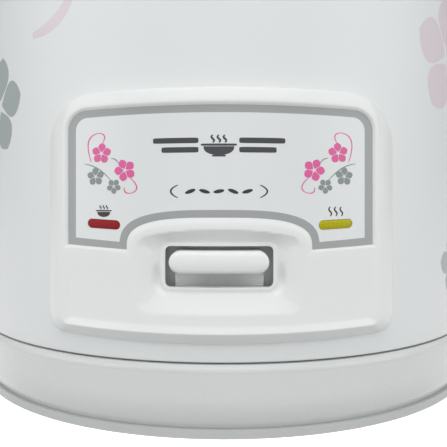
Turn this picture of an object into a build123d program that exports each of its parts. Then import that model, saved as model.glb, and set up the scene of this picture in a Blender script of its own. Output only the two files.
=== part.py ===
from build123d import *
import math
import os

# Electric rice cooker with a hinged lid, a carry handle and one lever switch.
# Millimetres, +Z up, front towards -Y, origin on the table under the body's axis.

# Clearances
CLEAR = 0.3             # between pieces that move past each other
SEAT = 0.1              # between pieces that rest on each other
FIT = 0.05              # radial, pin in its hole

# Body sizes
BODY_R = 130.0          # outer radius of the steel sleeve
SHELL_T = 0.8           # sleeve sheet
HEM_W = 8.0             # sleeve's inward hem at the bottom
BASE_H = 28.3           # seam between base and sleeve
BASE_OUT = 1.5          # base proud of the sleeve
BASE_T = 2.6            # base wall
BASE_TURN_Z = 17.0      # height where the base wall starts to curve in
BASE_DRAW = 2.7         # how far the wall has drawn in at its lower edge
BASE_FLANGE_W = 10.0    # width of the base's top flange
SHOULDER = 2.0          # round of the base's top edge
SEAM_GAP = 0.8          # shadow gap under the sleeve
SEAM_DEPTH = 3.5        # how far the shadow gap runs in under the sleeve

# Bottom cover sizes
LIP_IN = 1.9            # standing rim inside the base's widest radius
LIP_W = 4.0
LIP_H = 3.3
NECK_IN = 2.0           # depth of the groove between rim and base
COVER_Z = 2.8           # underside of the cover plate
COVER_T = 2.4
VENT_COUNT = 12
VENT_W = 3.2
VENT_R0 = 42.0
VENT_R1 = 74.0
PAD_R = 9.0             # rubber foot pads
PAD_IN = 23.6           # pads' circle inside the standing rim
PAD_STEM_R = 2.6
PAD_BARB = 1.2          # barb beyond the pad's stem
PAD_BARB_H = 1.6
BOSS_R = 5.0            # screw bosses of the base
BOSS_IN = 7.8           # bosses' circle inside the base's lower edge
BOSS_BORE = 11.0

# Screw sizes
SCREW_R = 1.5
HEAD_R = 2.8
HEAD_H = 1.5
COVER_HEAD_R = 3.2
COVER_HEAD_H = 1.6
COVER_SCREW_L = 8.0     # thread in the boss
SMALL_HEAD_R = 2.3
INLET_HEAD_R = 2.6
SMALL_HEAD_H = 1.4
BRACKET_SCREW_L = 2.0   # thread beyond the sheets that a bracket screw joins
FLOOR_SCREW_L = 0.8
LINER_SCREW_L = 2.8
PANEL_SCREW_L = 2.2
INLET_SCREW_L = 9.0
LID_SCREW_L = 7.0
LID_HEAD_H = 1.6

# Inner shell, heater and pot sizes
LINER_IN = 16.6         # sleeve's outside to the inside of the inner shell
LINER_T = 0.6
LINER_FLANGE_W = 5.0
LATCH_NOTCH = 10.0      # half of the notch in the shell's flange behind the latch
LINER_HOLE_IN = 18.0    # hole in the shell's floor inside the heating plate's edge
PLATE_T = 11.0          # heating plate
PLATE_ROUND = 3.0
PLATE_HOLE_ROOM = 2.4   # around the sensor cap
PLATE_SPACER = 1.7
STUD_IN = 10.0          # studs' circle inside the plate's edge
STUD_R = 2.0
STUD_BORE = 7.0
STUD_GAP = 0.5          # left between a stud and the end of its bore
NUT_WALL = 2.0
NUT_H = 3.0
STUD_END = 1.0          # stud beyond its nut
SPACER_WALL = 3.0
HEATER_IN = 30.0        # cast-in heater's ring inside the plate's edge
HEATER_TUBE_R = 4.0
TAIL_W = 6.0            # heater's cold tails
TAIL_T = 4.0
TAIL_L = 14.0
TAIL_TURNS = (75, 105)
POT_ROOM = 3.4          # between pot and inner shell
POT_T = 1.6
POT_H = 134.0
POT_CORNER = 22.0
POT_FLANGE_W = 7.0
BAND_UP = 50.0          # keep-warm band above the shell's floor
BAND_H = 40.0
BAND_T = 1.2
STRIP_T = 1.2           # brackets that carry the inner shell
STRIP_HALF = 7.0
STRIP_REACH = 16.0
STRIP_EDGE = 2.0        # bracket's foot inside the sleeve
STRIP_IN = 4.5          # bracket's upright inside its lower screw
FRAME_SCREW_UP = 2.5    # lower bracket screw inside the hem's edge
TOP_SCREW_IN = 14.5     # upper bracket screw inside the lower one

# Top ring sizes
RING_OUT = 2.0          # ring proud of the sleeve
RING_WALL = 4.5
RING_SKIRT = 26.0       # height of the ring's outer wall
RING_WEB = 4.2          # thickness under the pot flange
RING_ROUND = 5.0
SHELL_TUCK = 5.0        # how far the sleeve reaches up into the ring
LEDGE_CLEAR = 1.6       # room around the pot
WEB_BORE = 3.2          # depth of the screw holes under the ledge

# Lid sizes
LID_IN = 1.5            # lid inside the top ring's radius
LID_T = 2.4
LID_BAND = 7.0          # upright band under the shoulder
LID_SHOULDER = 14.0     # shoulder round
CROWN_ANGLE = 20.0      # slope where shoulder meets dome
LID_GAP = 0.5           # parting gap above the ring
FRAME_T = 2.0           # inner frame of the lid
COVER_PLATE_OUT = 3.0   # detachable inner cover beyond the pot's radius
COVER_PLATE_T = 0.8
GASKET_W = 6.0
GASKET_T = 2.2
GASKET_LAP = 2.5        # gasket over the inner cover's edge
LID_SCREW_IN = 9.0      # lid screws inside the inner cover's edge
LID_BOSS_R = 3.6
LID_BORE = 8.0
KNOB_PIN_R = 4.0        # inner cover's retaining knob
GRIP_R = 9.0
GRIP_H = 7.0
GRIP_BARB = 1.2
GRIP_BARB_H = 2.0
GRIP_TIP = 2.5
HINGE_OUT = 5.0         # hinge axis behind the top ring
HINGE_UP = 6.0          # hinge axis above the top ring
HINGE_PIN_R = 2.5
HINGE_HEAD = 1.5
KNUCKLE_R = 7.0
KNUCKLE_W = 51.0
LUG_W = 16.0
WEB_IN = 6.0            # knuckle's web inside the lid's edge

# Steam vent sizes
VENT_Y = 42.0
VENT_WELL_R = 18.0
VENT_WALL = 1.6
VENT_BOSS_R = 26.0
VENT_CAP_R = 23.5
VENT_CAP_H = 6.5
VENT_CAP_ROUND = 3.5
VENT_CUP_H = 24.0
VENT_ROOF = 2.0
STEAM_HOLE_R = 4.0
STEAM_SLOTS = (-2, -1, 0, 1, 2)
STEAM_SLOT_W = 1.6
STEAM_SLOT_PITCH = 4.0
STEAM_SLOT_HALF = 9.0   # middle slot, half its length
STEAM_SLOT_STEP = 1.5   # each next slot is shorter by this at both ends
COVER_HOLE_R = 1.5      # steam holes of the inner cover
COVER_HOLE_RING = 3.2
COVER_HOLES = (30, 150, 270)
SEAL_T = 1.0
SEAL_H = 3.0
SEAL_BITE = 0.6         # how deep the seal's groove is in the cup
SEAL_DOWN = 14.0        # seal below the vent's seat

# Handle sizes
HANDLE_Y = 10.0         # pivot place
HANDLE_DROP = 12.0      # pivot below the top of the ring
HANDLE_T = 8.0          # thickness seen from above
HANDLE_H = 14.0
HANDLE_ROOM = 10.0      # for the fingers, between hinge and crossbar
HANDLE_CORNER = 74.0
HANDLE_ROUND = 2.4
HANDLE_EYE_R = 11.0
HANDLE_GAP = 2.0        # between top ring and handle arms
HANDLE_PIN_R = 4.0
PIN_HEAD_R = 8.0
PIN_HEAD_T = 2.6

# Latch sizes
LATCH_W = 32.0
LATCH_H = 11.0
LATCH_PROUD = 2.5
LATCH_ROUND = 1.6
LATCH_TRAVEL = 3.0
LATCH_DROP = 2.0        # latch below the ring's web
FLANGE_LAP = 2.0        # latch flange beyond the button
FLANGE_RISE = 1.5
HOOK_W = 12.0
HOOK_T = 2.5
HOOK_RISE = 7.0
HOOK_NOSE = 0.9
HOOK_NOSE_H = 2.5
LATCH_COIL_R = 3.2
LATCH_WIRE_R = 0.4
LATCH_TURNS = 3
LATCH_SPRING_L = 6.2
LATCH_STOP_HALF = 8.0   # wall that the latch spring stands against
LATCH_STOP_T = 1.5

# Condensation cup sizes
CUP_W = 46.0
CUP_D = 17.0
CUP_H = 34.0
CUP_WALL = 1.4
CUP_RAIL = 2.4
CUP_ROUND = 4.0
CUP_UP = 6.0            # cup's rim above the ring's lower edge
RAIL_T = 1.5

# Control panel sizes, across the front and up from the seam
PANEL_HALF = 68.7
PANEL_UP = 7.5          # panel's foot above the seam
PANEL_H = 94.8
PANEL_PROUD = 5.5
PANEL_EDGE = 5.0        # round of the panel's front edge
PANEL_TOP_R = 19.0
PANEL_FOOT_R = 7.0
PANEL_SKIN = 2.9
WINDOW_IN = 10.7        # opening in the sleeve behind the panel
WINDOW_MARGIN = 11.0
WINDOW_R = 6.0
FRAME_WALL = 2.0        # panel's frame in that opening
FRAME_DEPTH = 7.0
PANEL_SCREW_IN = 6.0    # panel screws from the ends of the opening
LABEL_IN = 9.8          # label inside the panel's sides
LABEL_DOWN = 7.4        # label below the panel's top
LABEL_T = 0.8
LABEL_SUNK = 0.8
LABEL_TOP_R = 7.5
ARCH_OUT = 14.4         # cut-out of the label beyond the slot's ends
ARCH_UP = 10.9          # top of the cut-out above the slot
ARCH_R = 8.0
LABEL_LEG_OUT = 10.3    # label's feet below the top of the cut-out, at the panel's sides
LABEL_LEG_IN = 11.7     # and beside the cut-out
LENS_IN = 3.2           # lenses inside the middle of the label's feet
LENS_DOWN = 2.7         # lenses below the top of the cut-out
LENS_W = 13.0
LENS_H = 3.3
LENS_DEPTH = 6.0
LENS_PROUD = 0.25
LENS_FLANGE = 3.0       # added to the lens behind the panel's skin
LENS_FLANGE_T = 1.2
POST_R = 2.4            # posts of the lamp boards
POST_UP = 9.0
BOARD_HALF = 8.0
BOARD_T = 1.6
BOARD_DOWN = 4.0
BOARD_UP = 13.0
BOARD_GAP = 5.0         # between inner shell and board
LAMP_R = 1.5

# Switch sizes
SLOT_HALF = 20.0
SLOT_UP = 20.4          # slot above the panel's foot
SLOT_H = 15.2
SLOT_CORNER = 2.0
DISH_FLOOR = 5.0        # floor of the dish behind the panel's front
DISH_RIM = 1.2          # flat rim around the slot
DISH_SIDE = 5.6         # slope of the dish sides, run per depth
DISH_UPPER = 1.1
DISH_LOWER = 1.8
DISH_SKIN = 2.2
DISH_BLOCK_OUT = 9.0    # block behind the dish beyond the slot
DISH_BLOCK_UP = 6.0
KNOB_W = 36.6
KNOB_H = 8.3
KNOB_DOWN = 1.3         # knob below the slot's upper edge
KNOB_DEPTH = 6.0
KNOB_SUNK = 1.0         # knob's back behind the dish's floor
KNOB_TRAVEL = 4.8
KNOB_ROUND = 2.2
NECK_HALF = 14.0        # neck of the knob in the slot
NECK_EDGE = 0.5
SKIRT_HALF = 17.0       # plate behind the slot
SKIRT_T = 1.8
SKIRT_GAP = 1.9
SKIRT_LAP = 1.8         # plate below the slot
CLIP_HALF = 11.0        # clip of the knob on the lever
CLIP_WALL = 3.2
CLIP_DOWN = 5.0
CLIP_UP = 2.6
STEM_DOWN = 1.0         # lever's upper end below the knob's middle
PIVOT_DOWN = 11.4       # lever's pivot below the inner shell
LEVER_PIN_R = 2.0
PIN_HEAD = 1.2
PIN_END = 1.4
HUB_WALL = 1.6
ARM_T = 1.5
ARM_W = 14.0
ARM_DROP = 1.0          # strip below the pivot's middle
RISER_GAP = 5.5         # between inner shell and the lever's upright part
FORK_DOWN = 11.5        # fork below the thermostat's case
FORK_START = 16.0       # fork from the axis to the front
FORK_END = 8.0
FORK_ROOM = 0.9         # play of the fork between the rod's collars
COLLAR_R = 5.0
COLLAR_T = 1.5
ROD_END = 2.0
BRACKET_T = 1.5         # bracket of the lever's pivot
BRACKET_HALF = 14.0
BRACKET_FRONT = 14.0
BRACKET_BACK = 5.0
CHEEK = 6.0
SWITCH_GAP = 2.5        # snap switch beside the bracket
SWITCH_W = 8.0
SWITCH_H = 10.0
SWITCH_FRONT = 4.0
SWITCH_BACK = 18.0
TAB_HALF = 2.0
TAB_T = 0.8
TAB_L = 5.0
TAB_PITCH = 8.0

# Thermostat sizes
CASE_R = 16.4
CASE_T = 0.8
CASE_FLANGE_R = 27.0
CASE_FLANGE_T = 1.6
CASE_H = 24.7           # case below the heating plate
CAP_R = 18.6
CAP_T = 1.0
CAP_SKIRT = 8.6
SENSOR_TRAVEL = 1.6
SENSOR_TURNS = 6
FERRITE_R = 12.6
FERRITE_T = 6.0
MAGNET_R = 11.8
MAGNET_T = 8.0
ROD_R = 2.5
SPRING_WIRE_R = 0.55

# Power inlet sizes
INLET_UP = 2.7          # inlet plate above the seam
INLET_W = 44.0
INLET_H = 30.0
INLET_R = 4.0
INLET_PROUD = 3.0
INLET_SCREW_IN = 3.4
INLET_SINK_R = 3.1      # sunk seats of the inlet screws
INLET_SINK = 2.6
INLET_ROOM = 2.0        # between inlet and the inner shell's floor
SOCKET_W = 24.4
SOCKET_H = 16.4
SOCKET_DEPTH = 20.0
SOCKET_WALL = 3.2
SOCKET_BACK = 7.0
PIN_PITCH = 7.0
PIN_STEP = 2.0
PIN_HALF_W = 1.0
PIN_HALF_H = 2.0
PIN_SUNK = 4.0          # pins behind the socket's mouth
PIN_TAIL = 9.0

# Terminal block, fuse and wires
BLOCK_X = 52.0
BLOCK_Y = 61.0
BLOCK_W = 28.0
BLOCK_D = 18.0
BLOCK_H = 13.0
BLOCK_PITCH = 7.0
BLOCK_BORE_R = 2.2
BLOCK_BORE = 6.0
FUSE_X = -58.0
FUSE_L = 24.0
FUSE_R = 3.2
FUSE_CLIP = 4.0
FUSE_CLIP_D = 5.0
FUSE_CLIP_T = 1.0
WIRE_R = 1.1
WIRE_DROP = 10.0        # straight lead of a wire at its ends
WIRE_BEND = 0.45        # share of the shorter run that a bend takes

# Heights and radii worked out from the sizes above
BASE_R = BODY_R + BASE_OUT
BASE_FOOT_R = BASE_R - BASE_DRAW
LIP_R = BASE_R - LIP_IN
NECK_R = LIP_R - NECK_IN
PAD_RING_R = LIP_R - PAD_IN
BOSS_RING_R = BASE_FOOT_R - BOSS_IN
COVER_TOP = COVER_Z + COVER_T
INLET_Z = BASE_H + INLET_UP + INLET_H / 2
LINER_FLOOR_Z = INLET_Z + SOCKET_H / 2 + SOCKET_WALL + INLET_ROOM + LINER_T
LINER_R = BODY_R - LINER_IN
LINER_OUT = LINER_R + LINER_T
LINER_FLANGE_R = LINER_OUT + LINER_FLANGE_W
LINER_UNDER = LINER_FLOOR_Z - LINER_T
POT_R = LINER_R - POT_ROOM
PLATE_R = POT_R - POT_CORNER
PLATE_HOLE_R = CAP_R + PLATE_HOLE_ROOM
LINER_HOLE_R = PLATE_R - LINER_HOLE_IN
STUD_RING_R = PLATE_R - STUD_IN
HEATER_R = PLATE_R - HEATER_IN
PLATE_Z0 = LINER_FLOOR_Z + PLATE_SPACER
PLATE_Z1 = PLATE_Z0 + PLATE_T
BAND_Z0 = LINER_FLOOR_Z + BAND_UP
POT_Z0 = PLATE_Z1 + SEAT
RIM_Z = POT_Z0 + POT_H
POT_FLANGE_R = POT_R + POT_FLANGE_W
LEDGE_Z = RIM_Z - POT_T - SEAT
RING_R = BODY_R + RING_OUT
RING_IN = RING_R - RING_WALL
RING_Z1 = RIM_Z + CLEAR
WEB_Z0 = LEDGE_Z - RING_WEB
RING_Z0 = RING_Z1 - RING_SKIRT
SHELL_TOP = RING_Z0 + SHELL_TUCK
LINER_TOP = WEB_Z0 - SEAT
LINER_SCREW_R = LINER_OUT + LINER_FLANGE_W / 2
FRAME_SCREW_R = BODY_R - HEM_W + FRAME_SCREW_UP
TOP_SCREW_R = FRAME_SCREW_R - TOP_SCREW_IN
LID_R = RING_R - LID_IN
COVER_PLATE_R = POT_R + COVER_PLATE_OUT
LID_SCREW_R = COVER_PLATE_R - LID_SCREW_IN
LID_Z = RING_Z1 + LID_GAP
CROWN = math.radians(CROWN_ANGLE)
CROWN_R = LID_R - LID_SHOULDER * (1 - math.sin(CROWN))
DOME_R = CROWN_R / math.sin(CROWN)
SHOULDER_Z = LID_Z + LID_BAND
DOME_Z = SHOULDER_Z + LID_SHOULDER * math.cos(CROWN) - DOME_R * math.cos(CROWN)
LID_TOP = DOME_Z + DOME_R
GASKET_Z0 = RIM_Z + SEAT
COVER_PLATE_Z0 = GASKET_Z0 + (GASKET_T - COVER_PLATE_T) / 2
FRAME_Z0 = GASKET_Z0 + GASKET_T + SEAT
FRAME_Z1 = FRAME_Z0 + FRAME_T
HINGE_Y = RING_R + HINGE_OUT
HINGE_Z = RING_Z1 + HINGE_UP
VENT_TOP = DOME_Z + math.sqrt(DOME_R**2 - (VENT_Y - VENT_BOSS_R) ** 2) + SEAT
VENT_CUP_R = VENT_WELL_R - SEAL_T - CLEAR
SEAL_Z = VENT_TOP - SEAL_DOWN
HANDLE_Z = RING_Z1 - HANDLE_DROP
HANDLE_IN = RING_R + HANDLE_GAP
HANDLE_OUT = HANDLE_IN + HANDLE_T
HANDLE_BACK = HINGE_Y + KNUCKLE_R + HANDLE_ROOM + HANDLE_T
PANEL_Z0 = BASE_H + PANEL_UP
PANEL_Z1 = PANEL_Z0 + PANEL_H
PANEL_R = BODY_R + PANEL_PROUD
PANEL_BACK = BODY_R + SEAT
WINDOW_HALF = PANEL_HALF - WINDOW_IN
WINDOW_Z0 = PANEL_Z0 + WINDOW_MARGIN
WINDOW_Z1 = PANEL_Z1 - WINDOW_MARGIN
PANEL_SCREW_X = PANEL_HALF - WINDOW_IN / 2
PANEL_SCREW_Z = (WINDOW_Z0 + PANEL_SCREW_IN, WINDOW_Z1 - PANEL_SCREW_IN)
PANEL_SCREWS = [(side * PANEL_SCREW_X, z) for side in (-1, 1) for z in PANEL_SCREW_Z]
SLOT_Z0 = PANEL_Z0 + SLOT_UP
SLOT_Z1 = SLOT_Z0 + SLOT_H
ARCH_HALF = SLOT_HALF + ARCH_OUT
ARCH_TOP = SLOT_Z1 + ARCH_UP
LABEL_HALF = PANEL_HALF - LABEL_IN
LABEL_TOP = PANEL_Z1 - LABEL_DOWN
LABEL_FOOT_OUT = ARCH_TOP - LABEL_LEG_OUT
LABEL_FOOT_IN = ARCH_TOP - LABEL_LEG_IN
LABEL_R = PANEL_R - LABEL_SUNK
LENS_X = (LABEL_HALF + ARCH_HALF) / 2 - LENS_IN
LENS_Z = ARCH_TOP - LENS_DOWN
LAMP_Y = -math.sqrt(LINER_OUT**2 - LENS_X**2) - BOARD_GAP
DISH_Y = -(PANEL_R - DISH_FLOOR)
KNOB_Z1 = SLOT_Z1 - KNOB_DOWN
KNOB_Z0 = KNOB_Z1 - KNOB_H
KNOB_Z = (KNOB_Z0 + KNOB_Z1) / 2
KNOB_Y = DISH_Y - KNOB_DEPTH / 2 + KNOB_SUNK
PIVOT_Y = -STUD_RING_R
PIVOT_Z = LINER_UNDER - PIVOT_DOWN
RISER_Y = -(LINER_OUT + RISER_GAP)
STEM_Z = KNOB_Z - STEM_DOWN
CASE_FLOOR_Z = PLATE_Z0 - CASE_H
FORK_Z = CASE_FLOOR_Z - FORK_DOWN
LEVER_TURN = math.asin(KNOB_TRAVEL / (PIVOT_Y - KNOB_Y))
ROD_TRAVEL = -PIVOT_Y * LEVER_TURN
CAP_TOP = POT_Z0 - SEAT
FERRITE_Z0 = CAP_TOP - CAP_T - FERRITE_T
MAGNET_Z1 = FERRITE_Z0 - CLEAR - SENSOR_TRAVEL - ROD_TRAVEL
LATCH_Z0 = WEB_Z0 - CLEAR - LATCH_H - LATCH_DROP
LATCH_BACK = -math.sqrt((RING_IN - CLEAR) ** 2 - (LATCH_W / 2 + FLANGE_LAP) ** 2) + FLANGE_LAP + 0.2
LATCH_SEAT_Y = LATCH_BACK + LATCH_SPRING_L
CUP_TOP = RING_Z0 + CUP_UP
INLET_MOUTH = BODY_R + INLET_PROUD
INLET_BACK = INLET_MOUTH - SOCKET_DEPTH - SOCKET_BACK
INLET_SEAT_Y = INLET_MOUTH - INLET_SINK
INLET_SCREWS = [side * (INLET_W / 2 - INLET_SCREW_IN) for side in (-1, 1)]
INLET_PINS = [(-PIN_PITCH, INLET_Z - PIN_STEP), (PIN_PITCH, INLET_Z - PIN_STEP), (0.0, INLET_Z + PIN_STEP)]
BLOCK_TOP = COVER_TOP + BLOCK_H
BLOCK_BORES = (BLOCK_X - BLOCK_PITCH, BLOCK_X, BLOCK_X + BLOCK_PITCH)
FUSE_Y = HEATER_R
FUSE_Z = LINER_UNDER - FUSE_R
FRONT_DEEP = -0.7 * BODY_R  # how far back the front's cuts reach
CORNERS = (45, 135, 225, 315)
SIDES = (-30, 30, 150, 210)
STUDS = (90, 210, 330)
LID_SCREWS = [(math.cos(math.radians(a)) * LID_SCREW_R, math.sin(math.radians(a)) * LID_SCREW_R)
              for a in CORNERS]


def disc(radius, z0, z1):
    """Upright cylinder on the body's axis."""
    return Pos(0, 0, (z0 + z1) / 2) * Cylinder(radius, z1 - z0)


def ring(outer, inner, z0, z1):
    """Upright tube on the body's axis."""
    return disc(outer, z0, z1) - disc(inner, z0, z1)


def slab(x0, x1, y0, y1, z0, z1):
    """Box between two corners."""
    middle = Pos((x0 + x1) / 2, (y0 + y1) / 2, (z0 + z1) / 2)
    return middle * Box(x1 - x0, y1 - y0, z1 - z0)


def rod_x(radius, x0, x1, y, z):
    return Pos((x0 + x1) / 2, y, z) * Rot(0, 90, 0) * Cylinder(radius, x1 - x0)


def rod_y(radius, x, y0, y1, z):
    return Pos(x, (y0 + y1) / 2, z) * Rot(90, 0, 0) * Cylinder(radius, y1 - y0)


def rod_z(radius, x, y, z0, z1):
    return Pos(x, y, (z0 + z1) / 2) * Cylinder(radius, z1 - z0)


def turned(edges):
    """Solid of revolution about the body's axis."""
    return revolve(make_face(edges), Axis.Z)


def outline(points):
    """Closed radius and height outline in the plane that is turned."""
    return Polyline(*[(r, 0, z) for r, z in points], close=True)


def front_prism(sketch, y0, y1):
    """Sketch in x and z, pushed from y0 back to y1."""
    plane = Plane((0, y0, 0), x_dir=(1, 0, 0), z_dir=(0, -1, 0))
    return extrude(plane * sketch, amount=-(y1 - y0))


def panel_outline(half, z0, z1, foot_r, top_r):
    """Upright rectangle with its own corner radii at foot and top."""
    sketch = Pos(0, (z0 + z1) / 2) * Rectangle(2 * half, z1 - z0)
    corners = sketch.vertices().sort_by(Axis.Y)
    sketch = fillet(corners[:2], foot_r)
    corners = sketch.vertices().sort_by(Axis.Y)
    return fillet(corners[-2:], top_r)


def stadium(width, height, x, z):
    return Pos(x, z) * SlotOverall(width, height)


def screw(head_r, head_h, length):
    """Pan-head screw, seat at z 0, shank down, with a cross recess."""
    head = Pos(0, 0, head_h / 2) * Cylinder(head_r, head_h)
    shank = Pos(0, 0, -length / 2) * Cylinder(SCREW_R, length)
    recess = Pos(0, 0, head_h) * Box(head_r * 1.2, head_r * 0.3, head_h)
    return head + shank - recess - Rot(0, 0, 90) * recess


def around(shape, radius, angles):
    """Copies of a shape on a circle about the body's axis."""
    return [Rot(0, 0, a) * Pos(radius, 0, 0) * shape for a in angles]


def spring(coil_r, wire_r, length, turns):
    """Round-wire coil along Z from z 0, one tube on biarcs of a quarter turn."""
    rise = (length - 2 * wire_r) / turns
    slope = rise / (2 * math.pi * coil_r)

    def point(step):
        turn = step * math.pi / 2
        return Vector(coil_r * math.cos(turn), coil_r * math.sin(turn), wire_r + rise * step / 4)

    def heading(step):
        turn = step * math.pi / 2
        return Vector(-math.sin(turn), math.cos(turn), slope).normalized()

    arcs = []
    for step in range(4 * turns):
        start, end = point(step), point(step + 1)
        out, into = heading(step), heading(step + 1)
        chord, both = end - start, out + into
        square, cross = both.dot(both) - 4, chord.dot(both)
        reach = (cross - math.sqrt(cross**2 - square * chord.dot(chord))) / square
        first, last = start + out * reach, end - into * reach
        joint = (first + last) / 2
        arcs.append(TangentArc(start, joint, tangent=out))
        arcs.append(TangentArc(joint, end, tangent=last - first))
    path = Wire(arcs)
    section = Plane(point(0), z_dir=heading(0)) * Circle(wire_r)
    return sweep(section, path=path)


def panel_holes(r0, r1, radius):
    """Radial bores at the four panel screws."""
    bores = []
    for x, z in PANEL_SCREWS:
        turn = math.degrees(math.asin(x / BODY_R))
        bores.append(Pos(0, 0, z) * Rot(0, 0, turn) * rod_y(radius, 0, -r1, -r0, 0))
    return bores


def window(grow):
    return panel_outline(WINDOW_HALF + grow, WINDOW_Z0 - grow, WINDOW_Z1 + grow, WINDOW_R, WINDOW_R)


# Outer sleeve: rolled sheet with a hem, a panel window and a window for the power inlet
def outer_shell():
    wall = ring(BODY_R, BODY_R - SHELL_T, BASE_H, SHELL_TOP)
    hem = ring(BODY_R, BODY_R - HEM_W, BASE_H, BASE_H + SHELL_T)
    inlet = slab(-SOCKET_W / 2 - SOCKET_WALL - CLEAR, SOCKET_W / 2 + SOCKET_WALL + CLEAR,
                 BODY_R / 2, BODY_R + 1,
                 INLET_Z - SOCKET_H / 2 - SOCKET_WALL - CLEAR,
                 INLET_Z + SOCKET_H / 2 + SOCKET_WALL + CLEAR)
    shell = wall + hem - front_prism(window(0), -BODY_R - 1, -BODY_R / 2) - inlet
    shell -= panel_holes(BODY_R - SHELL_T - 1, BODY_R + 1, SCREW_R + FIT)
    shell -= [rod_y(SCREW_R + FIT, x, BODY_R / 2, BODY_R + 1, INLET_Z) for x in INLET_SCREWS]
    shell -= around(rod_z(SCREW_R + FIT, 0, 0, BASE_H, BASE_H + SHELL_T), FRAME_SCREW_R, SIDES)
    return shell


# Base: moulded ring that curves in towards its foot, with a flange under the sleeve's hem
def base_ring():
    bend = BASE_R - BASE_FOOT_R
    drop = BASE_TURN_Z - COVER_TOP
    curve = (bend**2 + drop**2) / (2 * bend)
    lift = BASE_H - SEAM_GAP
    outside = [
        TangentArc((BASE_R, 0, BASE_TURN_Z), (BASE_FOOT_R, 0, COVER_TOP), tangent=(0, 0, -1)),
        Line((BASE_R, 0, BASE_TURN_Z), (BASE_R, 0, lift - SHOULDER)),
        TangentArc((BASE_R, 0, lift - SHOULDER), (BASE_R - SHOULDER, 0, lift), tangent=(0, 0, 1)),
    ]
    sink = curve - BASE_T
    inner_foot = BASE_R - curve + math.sqrt(sink**2 - drop**2)
    flange = BASE_H - BASE_T
    rest = BODY_R - SEAM_DEPTH
    inner = BASE_R - BASE_FLANGE_W
    inside = [
        Polyline((BASE_R - SHOULDER, 0, lift), (rest, 0, lift), (rest, 0, BASE_H),
                 (inner, 0, BASE_H), (inner, 0, flange), (BASE_R - BASE_T, 0, flange),
                 (BASE_R - BASE_T, 0, BASE_TURN_Z)),
        TangentArc((BASE_R - BASE_T, 0, BASE_TURN_Z), (inner_foot, 0, COVER_TOP), tangent=(0, 0, -1)),
        Line((inner_foot, 0, COVER_TOP), (BASE_FOOT_R, 0, COVER_TOP)),
    ]
    body = turned(outside + inside)
    bosses = around(rod_z(BOSS_R, 0, 0, COVER_TOP, flange + 1), BOSS_RING_R, CORNERS)
    body = body + bosses
    body -= around(rod_z(SCREW_R + FIT, 0, 0, COVER_TOP, COVER_TOP + BOSS_BORE), BOSS_RING_R, CORNERS)
    body -= around(rod_z(SCREW_R + FIT, 0, 0, flange - 1, BASE_H), FRAME_SCREW_R, SIDES)
    return body


# Bottom cover: vented plate with the standing rim that shows under the base
def bottom_cover():
    inner = LIP_R - LIP_W
    cover = turned(outline([(0, COVER_Z), (inner, COVER_Z), (inner, 0), (LIP_R, 0),
                            (LIP_R, LIP_H), (NECK_R, LIP_H), (NECK_R, COVER_TOP), (0, COVER_TOP)]))
    vent = Pos((VENT_R0 + VENT_R1) / 2, 0, COVER_Z + COVER_T / 2) * extrude(
        SlotOverall(VENT_R1 - VENT_R0, VENT_W), COVER_T, both=True)
    cover -= around(vent, 0, [i * 360 / VENT_COUNT for i in range(VENT_COUNT)])
    cover -= around(rod_z(PAD_STEM_R + FIT, 0, 0, COVER_Z, COVER_TOP), PAD_RING_R, SIDES)
    cover -= around(rod_z(SCREW_R + FIT, 0, 0, COVER_Z, COVER_TOP), BOSS_RING_R, CORNERS)
    return cover


# Four push-in rubber pads under the cover, level with the standing rim
def foot_pads():
    pad = disc(PAD_R, 0, COVER_Z) + disc(PAD_STEM_R, COVER_Z, COVER_TOP)
    pad += disc(PAD_STEM_R, 0, COVER_TOP + PAD_BARB_H / 2)
    pad += disc(PAD_STEM_R + PAD_BARB, COVER_TOP + SEAT / 2, COVER_TOP + PAD_BARB_H)
    return around(pad, PAD_RING_R, SIDES)


def cover_screws():
    piece = Pos(0, 0, COVER_Z) * Rot(180, 0, 0) * screw(COVER_HEAD_R, COVER_HEAD_H, COVER_T + COVER_SCREW_L)
    return around(piece, BOSS_RING_R, CORNERS)


# Brackets that stand on the sleeve's hem and carry the inner shell
def liner_brackets():
    foot = BASE_H + SHELL_T
    outer = BODY_R - SHELL_T - STRIP_EDGE
    web = FRAME_SCREW_R - STRIP_IN
    sheet = LINER_UNDER - STRIP_T
    piece = slab(web - STRIP_T, outer, -STRIP_HALF, STRIP_HALF, foot, foot + STRIP_T)
    piece += slab(web - STRIP_T, web, -STRIP_HALF, STRIP_HALF, foot, LINER_UNDER)
    piece += slab(web - STRIP_REACH, web, -STRIP_HALF, STRIP_HALF, sheet, LINER_UNDER)
    piece -= rod_z(SCREW_R + FIT, FRAME_SCREW_R, 0, foot, foot + STRIP_T)
    piece -= rod_z(SCREW_R + FIT, TOP_SCREW_R, 0, sheet, LINER_UNDER)
    return around(piece, 0, SIDES)


def frame_screws():
    low = screw(HEAD_R, HEAD_H, STRIP_T + SHELL_T + BRACKET_SCREW_L)
    low = Pos(FRAME_SCREW_R, 0, BASE_H + SHELL_T + STRIP_T) * low
    top = screw(HEAD_R, HEAD_H, STRIP_T + LINER_T + FLOOR_SCREW_L)
    top = Pos(TOP_SCREW_R, 0, LINER_UNDER - STRIP_T) * Rot(180, 0, 0) * top
    return around(low, 0, SIDES) + around(top, 0, SIDES)


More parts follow.
